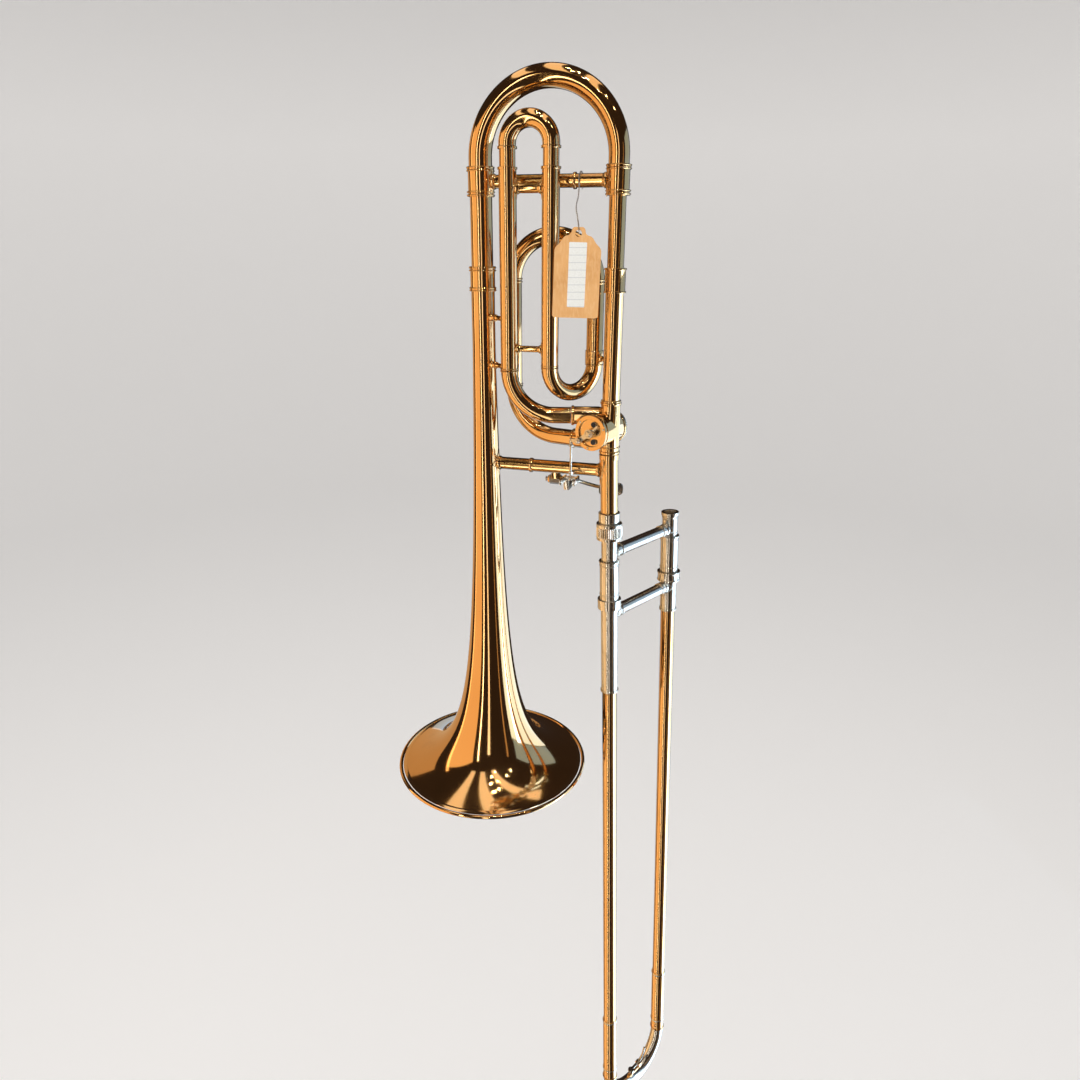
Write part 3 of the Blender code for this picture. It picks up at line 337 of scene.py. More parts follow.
def modified(shape, *tools):
    """The bmesh of an object with its modifiers applied. The object and its tools are removed."""
    bpy.context.view_layer.update()
    evaluated = shape.evaluated_get(bpy.context.evaluated_depsgraph_get())
    result = bmesh.new()
    result.from_mesh(evaluated.to_mesh())
    evaluated.to_mesh_clear()
    for used in (shape, *tools):
        bpy.data.meshes.remove(used.data)
    return result


def piece(name, bm, body, slot, finish=None, sharp=50):
    """Makes a visible piece that rides on a body, in a record slot's finish."""
    bmesh.ops.recalc_face_normals(bm, faces=bm.faces)
    if bm.calc_volume(signed=True) < 0:
        bmesh.ops.reverse_faces(bm, faces=bm.faces)
    made = linked_object(name, bm)
    made.data.shade_smooth()
    made.data.set_sharp_from_angle(angle=math.radians(sharp))
    made.data.materials.append(finish or MATERIALS[slot])
    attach(made, body)
    return made


def for_node(node, bm, sharp=50):
    """A fine piece that stands for a CAD node, on its body and in its slot."""
    made = piece(node + "_fine", bm, BODY_OF[node], SLOT_OF[node], sharp=sharp)
    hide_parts(node)
    return made


def across_frame(axis, reference=None):
    """Two unit vectors across an axis, the first one nearest to the reference."""
    reference = Vector(reference) if reference else (ASIDE if abs(axis.x) < 0.9 else UP)
    side = (reference - axis * reference.dot(axis)).normalized()
    return side, axis.cross(side)


def spoke(side, over, turn):
    """The unit vector at an angle from one direction towards another."""
    return side * math.cos(turn) + over * math.sin(turn)


def skin(bm, rings, closed):
    """Faces between each ring of vertices and the next, and from the last to the first if closed."""
    pairs = list(zip(rings, rings[1:]))
    if closed:
        pairs.append((rings[-1], rings[0]))
    for first, second in pairs:
        count = max(len(first), len(second))
        for k in range(count):
            j = (k + 1) % count
            corners = []
            for ring, index in ((first, k), (first, j), (second, j), (second, k)):
                vert = ring[index % len(ring)]
                if vert not in corners:
                    corners.append(vert)
            if len(corners) > 2:
                bm.faces.new(corners)


def lathe(base, axis, outline, sides=TUBE_SIDES, ripple=None):
    """An outline of (distance along, radius) turned about an axis.

    It is closed into a ring unless it starts on the axis. ripple is (count, depth, low, high, floor):
    a knurl cut round the stretch from low to high, wherever the radius is over floor.
    """
    bm = bmesh.new()
    axis = Vector(axis).normalized()
    side, over = across_frame(axis)
    rings = []
    for along, radius in outline:
        centre = Vector(base) + axis * along
        if radius < 1e-7:
            rings.append([bm.verts.new(centre)])
            continue
        made = []
        for k in range(sides):
            turn = 2 * math.pi * k / sides
            r = radius
            if ripple:
                count, depth, low, high, floor = ripple
                if low <= along <= high and radius > floor:
                    r -= depth * (0.5 - 0.5 * math.cos(count * turn)) ** 0.6
            made.append(bm.verts.new(centre + spoke(side, over, turn) * r))
        rings.append(made)
    skin(bm, rings, closed=outline[0][1] > 1e-7)
    return bm


def softened(outline, radius, closed=True, steps=3):
    """The outline with its corners rounded."""
    made = []
    last = len(outline) - 1
    for i, corner in enumerate(outline):
        if not closed and i in (0, last):
            made.append(corner)
            continue
        here = Vector(corner)
        to_before = Vector(outline[i - 1]) - here
        to_after = Vector(outline[(i + 1) % (last + 1)]) - here
        bend = math.pi - to_before.angle(to_after)
        if bend < 0.12:
            made.append(corner)
            continue
        reach = min(radius, 0.45 * to_before.length, 0.45 * to_after.length)
        start = here + to_before.normalized() * reach
        end = here + to_after.normalized() * reach
        for k in range(steps + 1):
            t = k / steps
            point = start * (1 - t) ** 2 + here * 2 * t * (1 - t) + end * t**2
            made.append((point.x, point.y))
    return made


def outline_of(node, base, axis):
    """The outline that a turned CAD node was made from, read back from its corners."""
    grid = 0.05 * MM
    mesh = frame["nodes"][node].data
    corners = []
    for vert in mesh.vertices:
        offset = vert.co - base
        along = offset.dot(axis)
        radius = (offset - axis * along).length
        corners.append((round(along / grid) * grid, round(radius / grid) * grid))
    beside = {}
    for edge in mesh.edges:
        first, second = (corners[index] for index in edge.vertices)
        if first != second:
            beside.setdefault(first, set()).add(second)
            beside.setdefault(second, set()).add(first)
    ends = sorted(corner for corner in beside if len(beside[corner]) == 1)
    walk = [ends[0] if ends else min(beside)]
    while True:
        ahead = sorted(beside[walk[-1]] - set(walk))
        if not ahead:
            break
        walk.append(ahead[0])
    if ends and walk[0][1] > 0:
        walk.insert(0, (walk[0][0], 0.0))
    if ends and walk[-1][1] > 0:
        walk.append((walk[-1][0], 0.0))
    return walk, not ends


def turned_copy(node, axis, base=None, edge=SOFT_EDGE, sides=TUBE_SIDES):
    """A fine piece of a turned CAD node, with its edges softened."""
    base = base or middle(node)
    outline, closed = outline_of(node, base, axis)
    outline = softened(outline, edge, closed)
    return for_node(node, lathe(base, axis, outline, sides))


def carried(points, reference, ends=None):
    """Two unit vectors across a path at each of its points, carried along it without twisting.

    ends gives the path's directions at its first and last point.
    """
    side = Vector(reference)
    last = len(points) - 1
    made = []
    for i in range(last + 1):
        along = (points[min(i + 1, last)] - points[max(i - 1, 0)]).normalized()
        if ends and i in (0, last):
            along = Vector(ends[i // last])
        side = (side - along * side.dot(along)).normalized()
        made.append((side.copy(), along.cross(side)))
    return made


def sweep(points, radii, wall=None, sides=TUBE_SIDES, reference=(0, 1, 0), ends=None):
    """A tube along a path, or a solid bar with flat capped ends where the wall is None."""
    bm = bmesh.new()
    points = [Vector(point) for point in points]
    if not isinstance(radii, list):
        radii = [radii] * len(points)
    rings = []
    inner = []
    for point, (side, over), radius in zip(points, carried(points, reference, ends), radii):
        for store, r in ((rings, radius), (inner, radius - (wall or 0))):
            made = []
            for k in range(sides):
                made.append(point + spoke(side, over, 2 * math.pi * k / sides) * r)
            store.append(made)
    if wall:
        loops = [[bm.verts.new(p) for p in ring] for ring in rings + inner[::-1]]
        skin(bm, loops, closed=True)
        return bm
    loops = [[bm.verts.new(p) for p in ring] for ring in rings]
    loops = [[bm.verts.new(points[0])]] + loops + [[bm.verts.new(points[-1])]]
    skin(bm, loops, closed=False)
    return bm


def arc(centre, start, finish, radius, first, last, steps):
    """Points round a centre, at angles in degrees that run from the start direction to the finish."""
    made = []
    for k in range(steps + 1):
        turn = math.radians(first + (last - first) * k / steps)
        made.append(Vector(centre) + spoke(Vector(start), Vector(finish), turn) * radius)
    return made


def mm(*values):
    """The values, written in millimetres, in metres."""
    return [value * MM for value in values]


def in_mm(*points):
    """Outline points, written in millimetres, in metres."""
    return [(along * MM, radius * MM) for along, radius in points]


def ring_outline(low, high, inner, outer, edge):
    """The outline of a plain ring with rounded edges."""
    return softened([(low, inner), (high, inner), (high, outer), (low, outer)], edge)


def bar(start, end, radius, sides=SMALL_SIDES, edge=SOFT_EDGE):
    """A round bar with rounded edges between two points."""
    span = Vector(end) - Vector(start)
    length = span.length
    outline = softened([(0, 0), (0, radius), (length, radius), (length, 0)], edge, closed=False)
    return lathe(start, span, outline, sides)


def boolean(bm, tool, operation="DIFFERENCE"):
    """The first bmesh cut by, or joined to, the second one."""
    for part in (bm, tool):
        bmesh.ops.recalc_face_normals(part, faces=part.faces)
    shape = linked_object("shape", bm)
    tool = linked_object("tool", tool)
    modifier = shape.modifiers.new("boolean", "BOOLEAN")
    modifier.object = tool
    modifier.operation = operation
    modifier.solver = "EXACT"
    return modified(shape, tool)


def block(centre, size, axes=(ASIDE, BACK, UP), edge=SOFT_EDGE):
    """A box with rounded edges."""
    bm = bmesh.new()
    bmesh.ops.create_cube(bm, size=1.0)
    bm.transform(Matrix.Diagonal((*size, 1)))
    bmesh.ops.bevel(bm, geom=bm.edges[:], offset=edge, segments=3, affect="EDGES", profile=0.5)
    turn = Matrix([Vector(a) for a in axes]).transposed().to_4x4()
    bm.transform(Matrix.Translation(Vector(centre)) @ turn)
    return bm


def bead(name, centre, axis, tube_r, width, rise, body, slot):
    """A half-round ring soldered round a tube."""
    outline = [(-width / 2, tube_r - 0.2 * MM), (width / 2, tube_r - 0.2 * MM)]
    for k in range(9):
        turn = math.pi * k / 8
        outline.append((width / 2 * math.cos(turn), tube_r + rise * math.sin(turn)))
    return piece(name, lathe(centre, axis, outline), body, slot)


def bevelled_copy(node, width=0.22 * MM):
    """A fine piece of a flat-sided CAD node: the same solid with every hard edge rounded."""
    bm = bmesh.new()
    bm.from_mesh(frame["nodes"][node].data)
    bmesh.ops.remove_doubles(bm, verts=bm.verts, dist=0.00001)
    bmesh.ops.dissolve_limit(bm, angle_limit=math.radians(2), verts=bm.verts, edges=bm.edges)
    shape = linked_object("shape", bm)
    modifier = shape.modifiers.new("bevel", "BEVEL")
    modifier.width = width
    modifier.segments = 3
    modifier.limit_method = "ANGLE"
    modifier.angle_limit = math.radians(40)
    return for_node(node, modified(shape), sharp=35)


def helix(base, axis, radius, pitch, turns, steps_per_turn=20):
    """Points along a coil."""
    axis = Vector(axis).normalized()
    side, over = across_frame(axis)
    made = []
    for k in range(int(turns * steps_per_turn) + 1):
        turn = 2 * math.pi * k / steps_per_turn
        rise = axis * pitch * k / steps_per_turn
        made.append(Vector(base) + spoke(side, over, turn) * radius + rise)
    return made


def screw_head(name, base, axis, radius, height, body, slot="nickel_silver"):
    """A domed head with a slot across it. Its axis points out of the work."""
    outline = [(-0.3 * MM, 0), (-0.3 * MM, radius)]
    for k in range(7):
        turn = math.pi / 2 * k / 6
        outline.append((height * math.sin(turn), radius * math.cos(turn) if k < 6 else 0))
    head = lathe(base, axis, outline, SMALL_SIDES)
    axis = Vector(axis).normalized()
    side, over = across_frame(axis, (1, 0.3, 0.5))
    size = (radius * 3, radius * 0.32, height * 1.1)
    slot_box = block(Vector(base) + axis * height, size, (side, over, axis), edge=0.02 * MM)
    return piece(name, boolean(head, slot_box), body, slot, sharp=35)


def saddle(name, line, axis, tube_r, toward, brace_r, body, slot):
    """A pointed flange wrapped on a tube where a brace meets it, its four sides hollowed."""
    thick = 0.7 * MM
    hollow = 0.72  # 1 for straight sides, less for hollowed ones
    axis = Vector(axis).normalized()
    out = (Vector(toward) - axis * Vector(toward).dot(axis)).normalized()
    beside = axis.cross(out)
    bm = bmesh.new()
    spokes = 48
    shells = ((0.0, -0.2 * MM), (0.45, -0.2 * MM), (1.0, -0.2 * MM), (1.0, 0.35 * thick))
    shells += ((0.965, 0.75 * thick), (0.9, 0.95 * thick), (0.5, thick), (0.0, thick))
    rings = []
    for share, lift in shells:
        ring = []
        for k in range(1 if share == 0 else spokes):
            turn = 2 * math.pi * k / spokes
            c, s = math.cos(turn), math.sin(turn)
            reach = (abs(c) ** hollow + abs(s) ** hollow) ** (-1 / hollow)
            round_the_tube = share * reach * c * brace_r * 2.1 / tube_r
            along = share * reach * s * brace_r * 2.3
            radial = spoke(out, beside, round_the_tube) * (tube_r + lift)
            ring.append(bm.verts.new(line + radial + axis * along))
        rings.append(ring)
    skin(bm, rings, closed=False)
    return piece(name, bm, body, slot)


# ---------------- the bell

BELL_POWER = 0.7
BELL_FLARE = 18.3 * MM
BELL_WALL = 0.6 * MM
BELL_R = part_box("rim_wire")[1].x
BELL_TAIL_R = 10.7 * MM
RIM_WIRE_R = 2.0 * MM


def bell_radius(z):
    return max(BELL_R * ((z + BELL_FLARE) / BELL_FLARE) ** -BELL_POWER, BELL_TAIL_R)


def bell():
    """One smooth shell from the rim to the tail, the rim's wire, and the fold that holds the wire."""
    low = bottom("bell_flare") + BELL_WALL
    taper_end = BELL_FLARE * ((BELL_R / BELL_TAIL_R) ** (1 / BELL_POWER) - 1)
    heights = [low + (taper_end - low) * (k / 90) ** 2.2 for k in range(91)] + [top("bell_stem")]
    outer = [(z, bell_radius(z)) for z in heights]
    inner = []
    for z, r in outer:
        slope = (bell_radius(z + 0.00001) - bell_radius(z)) / 0.00001
        lean = math.hypot(1, slope)
        inner.append((z + BELL_WALL * slope / lean, r - BELL_WALL / lean))
    shell = lathe((0, 0, 0), UP, outer + inner[::-1], BELL_SIDES)
    made = piece("bell_shell", shell, "bell_section", "bell_brass")
    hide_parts("bell_flare", "bell_throat", "bell_stem")
    turns = [2 * math.pi * k / 24 for k in range(24)]
    rim = [(RIM_WIRE_R * math.sin(a), BELL_R - RIM_WIRE_R + RIM_WIRE_R * math.cos(a)) for a in turns]
    for_node("rim_wire", lathe((0, 0, 0), UP, rim, BELL_SIDES))
    fold = [(z, bell_radius(z) + 0.25 * MM) for z in mm(1.3, 2.5)]
    fold += [(z, r - 0.5 * MM) for z, r in reversed(fold)]
    piece("rim_fold", lathe((0, 0, 0), UP, fold, BELL_SIDES), "bell_section", "bell_brass")


# ---------------- tubes

TUBE_WALL = 0.6 * MM
NECKPIPE_R = 8.1 * MM
F_TUBE_R = 7.6 * MM
F_SLIDE_BOW_R = 7.4 * MM
F_PORT_X = 86.0 * MM
F_PORTS = (
    # node, leg, turn about Z, height of the port, height where the bend starts
    ("f_elbow_upper", "f_leg_supply", 14.0, 397.0 * MM, 438.0 * MM),
    ("f_elbow_lower", "f_leg_rear", -12.0, 373.7 * MM, 418.7 * MM),
)
GAP = 0.3 * MM  # between the faces of two CAD pieces that touch
SLIDE_SPAN = (UPPER_LINE - LOWER_LINE).dot(OVER)
SLIDE_BOW_R = 8.0 * MM
SLIDE_BOW_DOWN = 816.0 * MM
SWIVEL_DOWN = 80.0 * MM  # how far the swivel's stated point is below the hand slide's top
FIXED_BRASS = ("bell_section", "yellow_brass")
FIXED_SILVER = ("bell_section", "nickel_silver")
UPRIGHT_TUBES = (
    "bell_tuning_sleeve",
    "neckpipe",
    "tuning_leg_bell",
    "tuning_leg_neck",
    "tuning_ferrule_bell",
    "tuning_ferrule_neck",
    "f_leg_supply",
    "f_leg_return",
    "f_leg_inner",
    "f_leg_rear",
    "f_tuning_leg_supply",
    "f_tuning_leg_return",
)
LOWER_LINE_TUBES = (
    "gooseneck",
    "slide_receiver",
    "slide_tenon",
    "inner_tube_lower",
    "cork_barrel_lower",
    "outer_tube_lower",
)
UPPER_LINE_TUBES = ("inner_tube_upper", "cork_barrel_upper", "mouthpiece_receiver", "outer_tube_upper")


def radius_of(node):
    """The largest radius of an upright turned CAD node."""
    outline, _ = outline_of(node, middle(node), UP)
    return max(radius for _, radius in outline)


def straight_tubes():
    for node in UPRIGHT_TUBES:
        turned_copy(node, UP)
    for node in LOWER_LINE_TUBES:
        turned_copy(node, DOWN, LOWER_LINE)
    for node in UPPER_LINE_TUBES:
        turned_copy(node, DOWN, UPPER_LINE)


def half_turn(node, right, left, height, stub, radii):
    """An upright bow from the right leg's line over to the left one's, with a straight stub at each end."""
    right = Vector((right.x, right.y, height))
    left = Vector((left.x, left.y, height))
    out = (right - left).normalized()
    path = [right]
    path += arc((right + left) / 2 + UP * stub, out, UP, (right - left).length / 2, 0, 180, 64)
    path.append(left)
    run = len(path) - 1
    graded = [radii[0] + (radii[1] - radii[0]) * k / run for k in range(run + 1)]
    return for_node(node, sweep(path, graded, TUBE_WALL, ends=(UP, -UP)))


def bows():
    supply = middle("f_leg_supply")
    back = middle("f_leg_return")
    inner = middle("f_leg_inner")
    for node, right, left, stub, radii in (
        ("tuning_bow", middle("neckpipe"), middle("tuning_leg_bell"), 7.0 * MM, mm(8.8, 10.2)),
        ("f_tuning_bow", back, supply, 1.5 * MM, (F_SLIDE_BOW_R, F_SLIDE_BOW_R)),
        ("f_upper_crook", inner, middle("f_leg_rear"), 0.0, (F_TUBE_R, F_TUBE_R)),
    ):
        half_turn(node, right, left, bottom(node), stub, radii)

    low_z = top("f_lower_bow")
    first = Vector((back.x, back.y, low_z))
    last = Vector((inner.x, inner.y, low_z))
    out = (first - last).normalized()
    path = arc((first + last) / 2, out, -UP, (first - last).length / 2, 0, 180, 48)
    for_node("f_lower_bow", sweep(path, F_TUBE_R, TUBE_WALL, reference=out, ends=(-UP, UP)))

    half = SLIDE_SPAN / 2
    path = arc(slide_point(half, SLIDE_BOW_DOWN), -OVER, DOWN, half, 0, 180, 64)
    for_node("slide_bow", sweep(path, SLIDE_BOW_R, TUBE_WALL, reference=OVER, ends=(DOWN, -DOWN)))


def slide_point(over, down):
    """A point in the hand slide's own frame: down from its top, over towards its second tube."""
    return LOWER_LINE + OVER * over + DOWN * (down - SWIVEL_DOWN)


def port_of(leg, turn, height):
    """Where an F port meets its elbow, and the direction into the valve."""
    start = middle(leg)
    into = Vector((math.cos(math.radians(turn)), math.sin(math.radians(turn)), 0))
    reach = (F_PORT_X - start.x) / into.x
    return Vector((start.x, start.y, height)) + into * reach, into, reach


def elbows():
    for node, leg, turn, port_z, bend_z in F_PORTS:
        start = middle(leg)
        _, into, reach = port_of(leg, turn, port_z)
        radius = bend_z - port_z
        centre = Vector((start.x, start.y, bend_z)) + into * radius
        path = arc(centre, -into, -UP, radius, 0, 90, 40)
        path.append(Vector((start.x, start.y, port_z)) + into * (reach - GAP))
        for_node(node, sweep(path, F_TUBE_R, TUBE_WALL, reference=into.cross(UP), ends=(-UP, into)))


def double_ring(name, line, z, tube_r, rise, body, apart=2.6 * MM):
    """Two fine half-round rings, one above the other."""
    for k, step in enumerate((-apart / 2, apart / 2)):
        at = Vector((line.x, line.y, z + step))
        bead(f"{name}_{k + 1}", at, UP, tube_r, 1.5 * MM, rise, body, "yellow_brass")


def tube_rings():
    """Half-round rings at the soldered joints and at the ends of the sleeves and ferrules."""
    for node in ("f_leg_inner", "f_leg_rear", "f_leg_supply", "f_leg_return"):
        line = middle(node)
        if node in ("f_leg_inner", "f_leg_rear"):
            double_ring(node + "_high_ring", line, top(node), F_TUBE_R, 0.9 * MM, "bell_section")
        rise = 0.35 * MM if node == "f_leg_return" else 0.8 * MM  # the card passes close by that one
        double_ring(node + "_low_ring", line, bottom(node), F_TUBE_R, rise, "bell_section", 2.0 * MM)
    neck = middle("neckpipe")
    neck.z = bottom("neckpipe")
    bead("neckpipe_ring", neck, UP, NECKPIPE_R, 2.4 * MM, 1.3 * MM, *FIXED_BRASS)
    for node in ("tuning_ferrule_bell", "tuning_ferrule_neck"):
        radius = radius_of(node) - 0.4 * MM
        for name, z in (("high", top(node) - 1.2 * MM), ("low", bottom(node) + 2.4 * MM)):
            double_ring(f"{node}_{name}_ring", middle(node), z, radius, 0.9 * MM, "main_tuning_slide")
    node = "bell_tuning_sleeve"
    radius = radius_of(node) - 0.4 * MM
    for name, z in (("high", top(node) - 2.4 * MM), ("low", bottom(node) + 1.0 * MM)):
        double_ring(f"{node}_{name}_ring", middle(node), z, radius, 0.8 * MM, "bell_section", 2.2 * MM)
    for node in ("f_leg_supply", "f_leg_return"):
        at = middle(node)
        at.z = top(node) - 1.0 * MM
        bead(node + "_mouth_ring", at, UP, F_TUBE_R, 1.8 * MM, 0.6 * MM, *FIXED_BRASS)


# ---------------- braces

BRACE_R = 6.0 * MM
TUNING_BRACE_R = 5.6 * MM
STAY_R = 2.2 * MM
BRACE_SINK = 0.6 * MM  # how far a brace's ends reach into the tubes


def brace(node, start, end, radius, tubes, body, slot="yellow_brass", collar=None):
    """A round brace between two tubes: wide feet, a collar if it has one, pointed flanges on the tubes.

    start and end lie on the tubes' lines, and tubes holds each one's (axis, radius). collar is how far
    along the brace its ring is, how wide and how high.
    """
    way = (end - start).normalized()
    near = start + way * (tubes[0][1] - BRACE_SINK)
    far = end - way * (tubes[1][1] - BRACE_SINK)
    length = (far - near).length
    foot = radius + 0.9 * MM
    outline = [(0, 0), (0, foot), (2.4 * MM, foot), (3.6 * MM, radius)]
    outline += [(length - 3.6 * MM, radius), (length - 2.4 * MM, foot), (length, foot), (length, 0)]
    for_node(node, lathe(near, way, softened(outline, 0.6 * MM, closed=False), 40))
    if collar:
        at, wide, rise = collar
        ring = ring_outline(-wide / 2, wide / 2, radius - 0.2 * MM, radius + rise, 0.4 * MM)
        piece(node + "_fine_collar", lathe(start + way * at, way, ring), body, slot)
    for k, (line, (axis, tube_r), toward) in enumerate(zip((start, end), tubes, (way, -way))):
        saddle(f"{node}_fine_flange_{k + 1}", line, axis, tube_r, toward, radius, body, slot)


def between(node, first, second):
    """Where a brace's middle line meets two upright lines, at the brace's height."""
    z = middle(node).z
    return Vector((first.x, first.y, z)), Vector((second.x, second.y, z))


def braces():
    bell_line = Vector((0, 0, 0))
    neck = middle("neckpipe")
    supply = middle("f_leg_supply")
    f_tube = (UP, F_TUBE_R)

    tubes = [(UP, radius_of("tuning_ferrule_" + end) - 0.8 * MM) for end in ("bell", "neck")]
    ends = between("tuning_brace", bell_line, neck)
    brace("tuning_brace", *ends, TUNING_BRACE_R, tubes, "main_tuning_slide", collar=mm(84.7, 2.4, 1.2))
    for node, radius in (("f_brace_upper", 4.0 * MM), ("f_brace_lower", 2.8 * MM)):
        ends = between(node, supply, middle("f_leg_return"))
        brace(node, *ends, radius, (f_tube, f_tube), "bell_section")
    for node in ("f_stay_upper", "f_stay_lower"):
        ends = between(node, bell_line, supply)
        tubes = ((UP, bell_radius(ends[0].z)), f_tube)
        brace(node, *ends, STAY_R, tubes, "bell_section", collar=mm(17, 2.0, 1.0))
    ends = between("f_stay_neck", middle("f_leg_inner"), neck)
    brace("f_stay_neck", *ends, STAY_R, ((UP, 8.4 * MM), (UP, NECKPIPE_R)), "bell_section")

    z = middle("bell_brace").z
    neck_x = LOWER_LINE.x + (z - LOWER_LINE.z) * DOWN.x / DOWN.z
    ends = (Vector((0, 0, z)), Vector((neck_x, 0, z)))
    tubes = ((UP, bell_radius(z)), (DOWN, 8.5 * MM))
    brace("bell_brace", *ends, BRACE_R, tubes, "bell_section", collar=mm(46, 2.6, 1.0))
    for node, body, near_r, far_r in (
        ("inner_brace", "inner_slide", 7.9 * MM, 8.2 * MM),
        ("outer_brace", "outer_slide", 8.4 * MM, 8.4 * MM),
    ):
        down = (middle(node) - LOWER_LINE).dot(DOWN) + SWIVEL_DOWN
        ends = (slide_point(0, down), slide_point(SLIDE_SPAN, down))
        brace(node, *ends, BRACE_R, ((DOWN, near_r), (DOWN, far_r)), body, "nickel_silver")
        ring = ring_outline(*mm(-1.3, 1.3, 5.8, 6.8, 0.4))
        for k, over in enumerate((16 * MM, SLIDE_SPAN - 16 * MM)):
            collar = lathe(slide_point(over, down), OVER, ring)
            piece(f"{node}_collar_{k + 1}", collar, body, "nickel_silver")


# ---------------- the valve

ROTOR = Vector(JOINTS["rotor_turn"]["pos_m"])
VALVE_BACK = Vector(JOINTS["rotor_turn"]["axis"]).normalized()
VALVE_SIDE = VALVE_BACK.cross(UP)
LINK_TOP = Vector(JOINTS["link_rod_pivot"]["pos_m"])
HINGE = Vector(JOINTS["trigger_press"]["pos_m"])
CASING_R = 15.5 * MM
CASING_BORE_R = 14.0 * MM
CASING_HALF = 16.5 * MM
KNUCKLE_R = 9.0 * MM  # of the casing's own piece of pipe, in the neckpipe's line
KNUCKLE_BORE_R = 7.6 * MM
KNUCKLE_LOW = 362.0 * MM
PORT_R = 8.3 * MM
PORT_BORE_R = 7.1 * MM
PORT_LENGTH = 25.0 * MM
PORT_SHOULDER = 6.0 * MM
LINK_SLANT = 7.0 * MM  # how far the link rod stands to the side of its upper pivot
LINK_BALL_R = 2.4 * MM
LINK_R = 1.05 * MM


def at_valve(side, back, up):
    """A point in millimetres from the rotor's centre, in the valve's own frame."""
    return ROTOR + (VALVE_SIDE * side + VALVE_BACK * back + UP * up) * MM


def port_end(end, into):
    """The rounded shoulder in which an F port runs into the casing."""
    turns = [math.pi / 2 * k / 12 for k in range(12)]
    outline = [(-MM, 0), (-MM, PORT_R)]
    outline += [(PORT_SHOULDER * math.sin(turn), PORT_R * math.cos(turn)) for turn in turns]
    return lathe(end, into, outline + [(PORT_SHOULDER, 0)], 48)


def valve():
    casing()
    back_cap()
    stop_plate()
    stop_arm()
    rotor = frame["nodes"]["rotor"]
    rotor.data.materials.clear()
    rotor.data.materials.append(MATERIALS["yellow_brass"])


def casing():
    """The casing with its knuckle in the neckpipe's line, its two F ports and its bands."""
    body = bar(ROTOR - VALVE_BACK * CASING_HALF, ROTOR + VALVE_BACK * CASING_HALF, CASING_R, 80, 0.4 * MM)
    neck = Vector((middle("neckpipe").x, 0, 0))
    low = KNUCKLE_LOW
    high = bottom("neckpipe") - GAP
    body = boolean(body, bar(neck + UP * low, neck + UP * high, KNUCKLE_R, 48), "UNION")
    ports = [port_of(leg, turn, port_z)[:2] for _, leg, turn, port_z, _ in F_PORTS]
    for start, into in ports:
        end = start + into * PORT_LENGTH
        body = boolean(body, bar(start, end, PORT_R, 48), "UNION")
        body = boolean(body, port_end(end, into), "UNION")
    body = boolean(body, bar(at_valve(0, -18, 0), at_valve(0, 18, 0), CASING_BORE_R, 64))
    body = boolean(body, bar(neck + UP * (low - MM), neck + UP * (high + MM), KNUCKLE_BORE_R, 40))
    for start, into in ports:
        bore_end = start + into * (PORT_LENGTH - 2 * MM)
        body = boolean(body, bar(start - into * MM, bore_end, PORT_BORE_R, 40))
    for_node("valve_casing", body, sharp=30)

    for k, (start, into) in enumerate(ports):
        at = start + into * 1.4 * MM
        bead(f"valve_port_ring_{k + 1}", at, into, PORT_R, 2.8 * MM, 0.9 * MM, *FIXED_BRASS)
    rings = ((low + 1.6 * MM, 3.0 * MM), (high - 1.6 * MM, 3.0 * MM), (low + 6.4 * MM, 1.6 * MM))
    for k, (z, width) in enumerate(rings):
        bead(f"valve_knuckle_ring_{k + 1}", neck + UP * z, UP, KNUCKLE_R, width, 0.8 * MM, *FIXED_BRASS)
    for k, share in enumerate((-0.93, 0.90)):
        at = ROTOR + VALVE_BACK * CASING_HALF * share
        bead(f"valve_casing_band_{k + 1}", at, VALVE_BACK, CASING_R, 2.2 * MM, 0.7 * MM, *FIXED_BRASS)


def back_cap():
    """The silver cap behind the casing, with its button and its knurled edge."""
    turned_copy("valve_back_cap", VALVE_BACK, ROTOR, sides=80, edge=0.5 * MM)
    button = softened(in_mm((-0.4, 0), (-0.4, 5.0), (0.7, 4.6), (0.7, 0)), 0.3 * MM, False)
    button = lathe(at_valve(0, 20.4, 0), VALVE_BACK, button, 40)
    piece("back_cap_button", button, *FIXED_SILVER)
    knurl = ring_outline(*mm(16.9, 18.4, 15.2, 15.9, 0.2))
    knurl = lathe(ROTOR, VALVE_BACK, knurl, 320, (64, *mm(0.3, 17.0, 18.3, 15.5)))
    piece("back_cap_knurl", knurl, *FIXED_SILVER)


def stop_plate():
    """The plate with its guard ring, the two bumpers in their cups, and three small screws."""
    turned_copy("valve_stop_plate", VALVE_BACK, ROTOR, sides=80, edge=0.35 * MM)
    for node in ("bumper_upper", "bumper_lower"):
        turned_copy(node, VALVE_BACK, edge=0.5 * MM, sides=SMALL_SIDES)
        cup = lathe(middle(node), VALVE_BACK, ring_outline(*mm(0.1, 1.1, 2.42, 2.66, 0.08)), 40)
        piece(node + "_cup", cup, *FIXED_SILVER)
    for k, angle in enumerate((20, 140, 260)):
        turn = math.radians(angle)
        at = at_valve(14.5 * math.cos(turn), -21.8, 14.5 * math.sin(turn))
        screw_head(f"stop_plate_screw_{k + 1}", at, -VALVE_BACK, 1.1 * MM, 0.5 * MM, "bell_section")


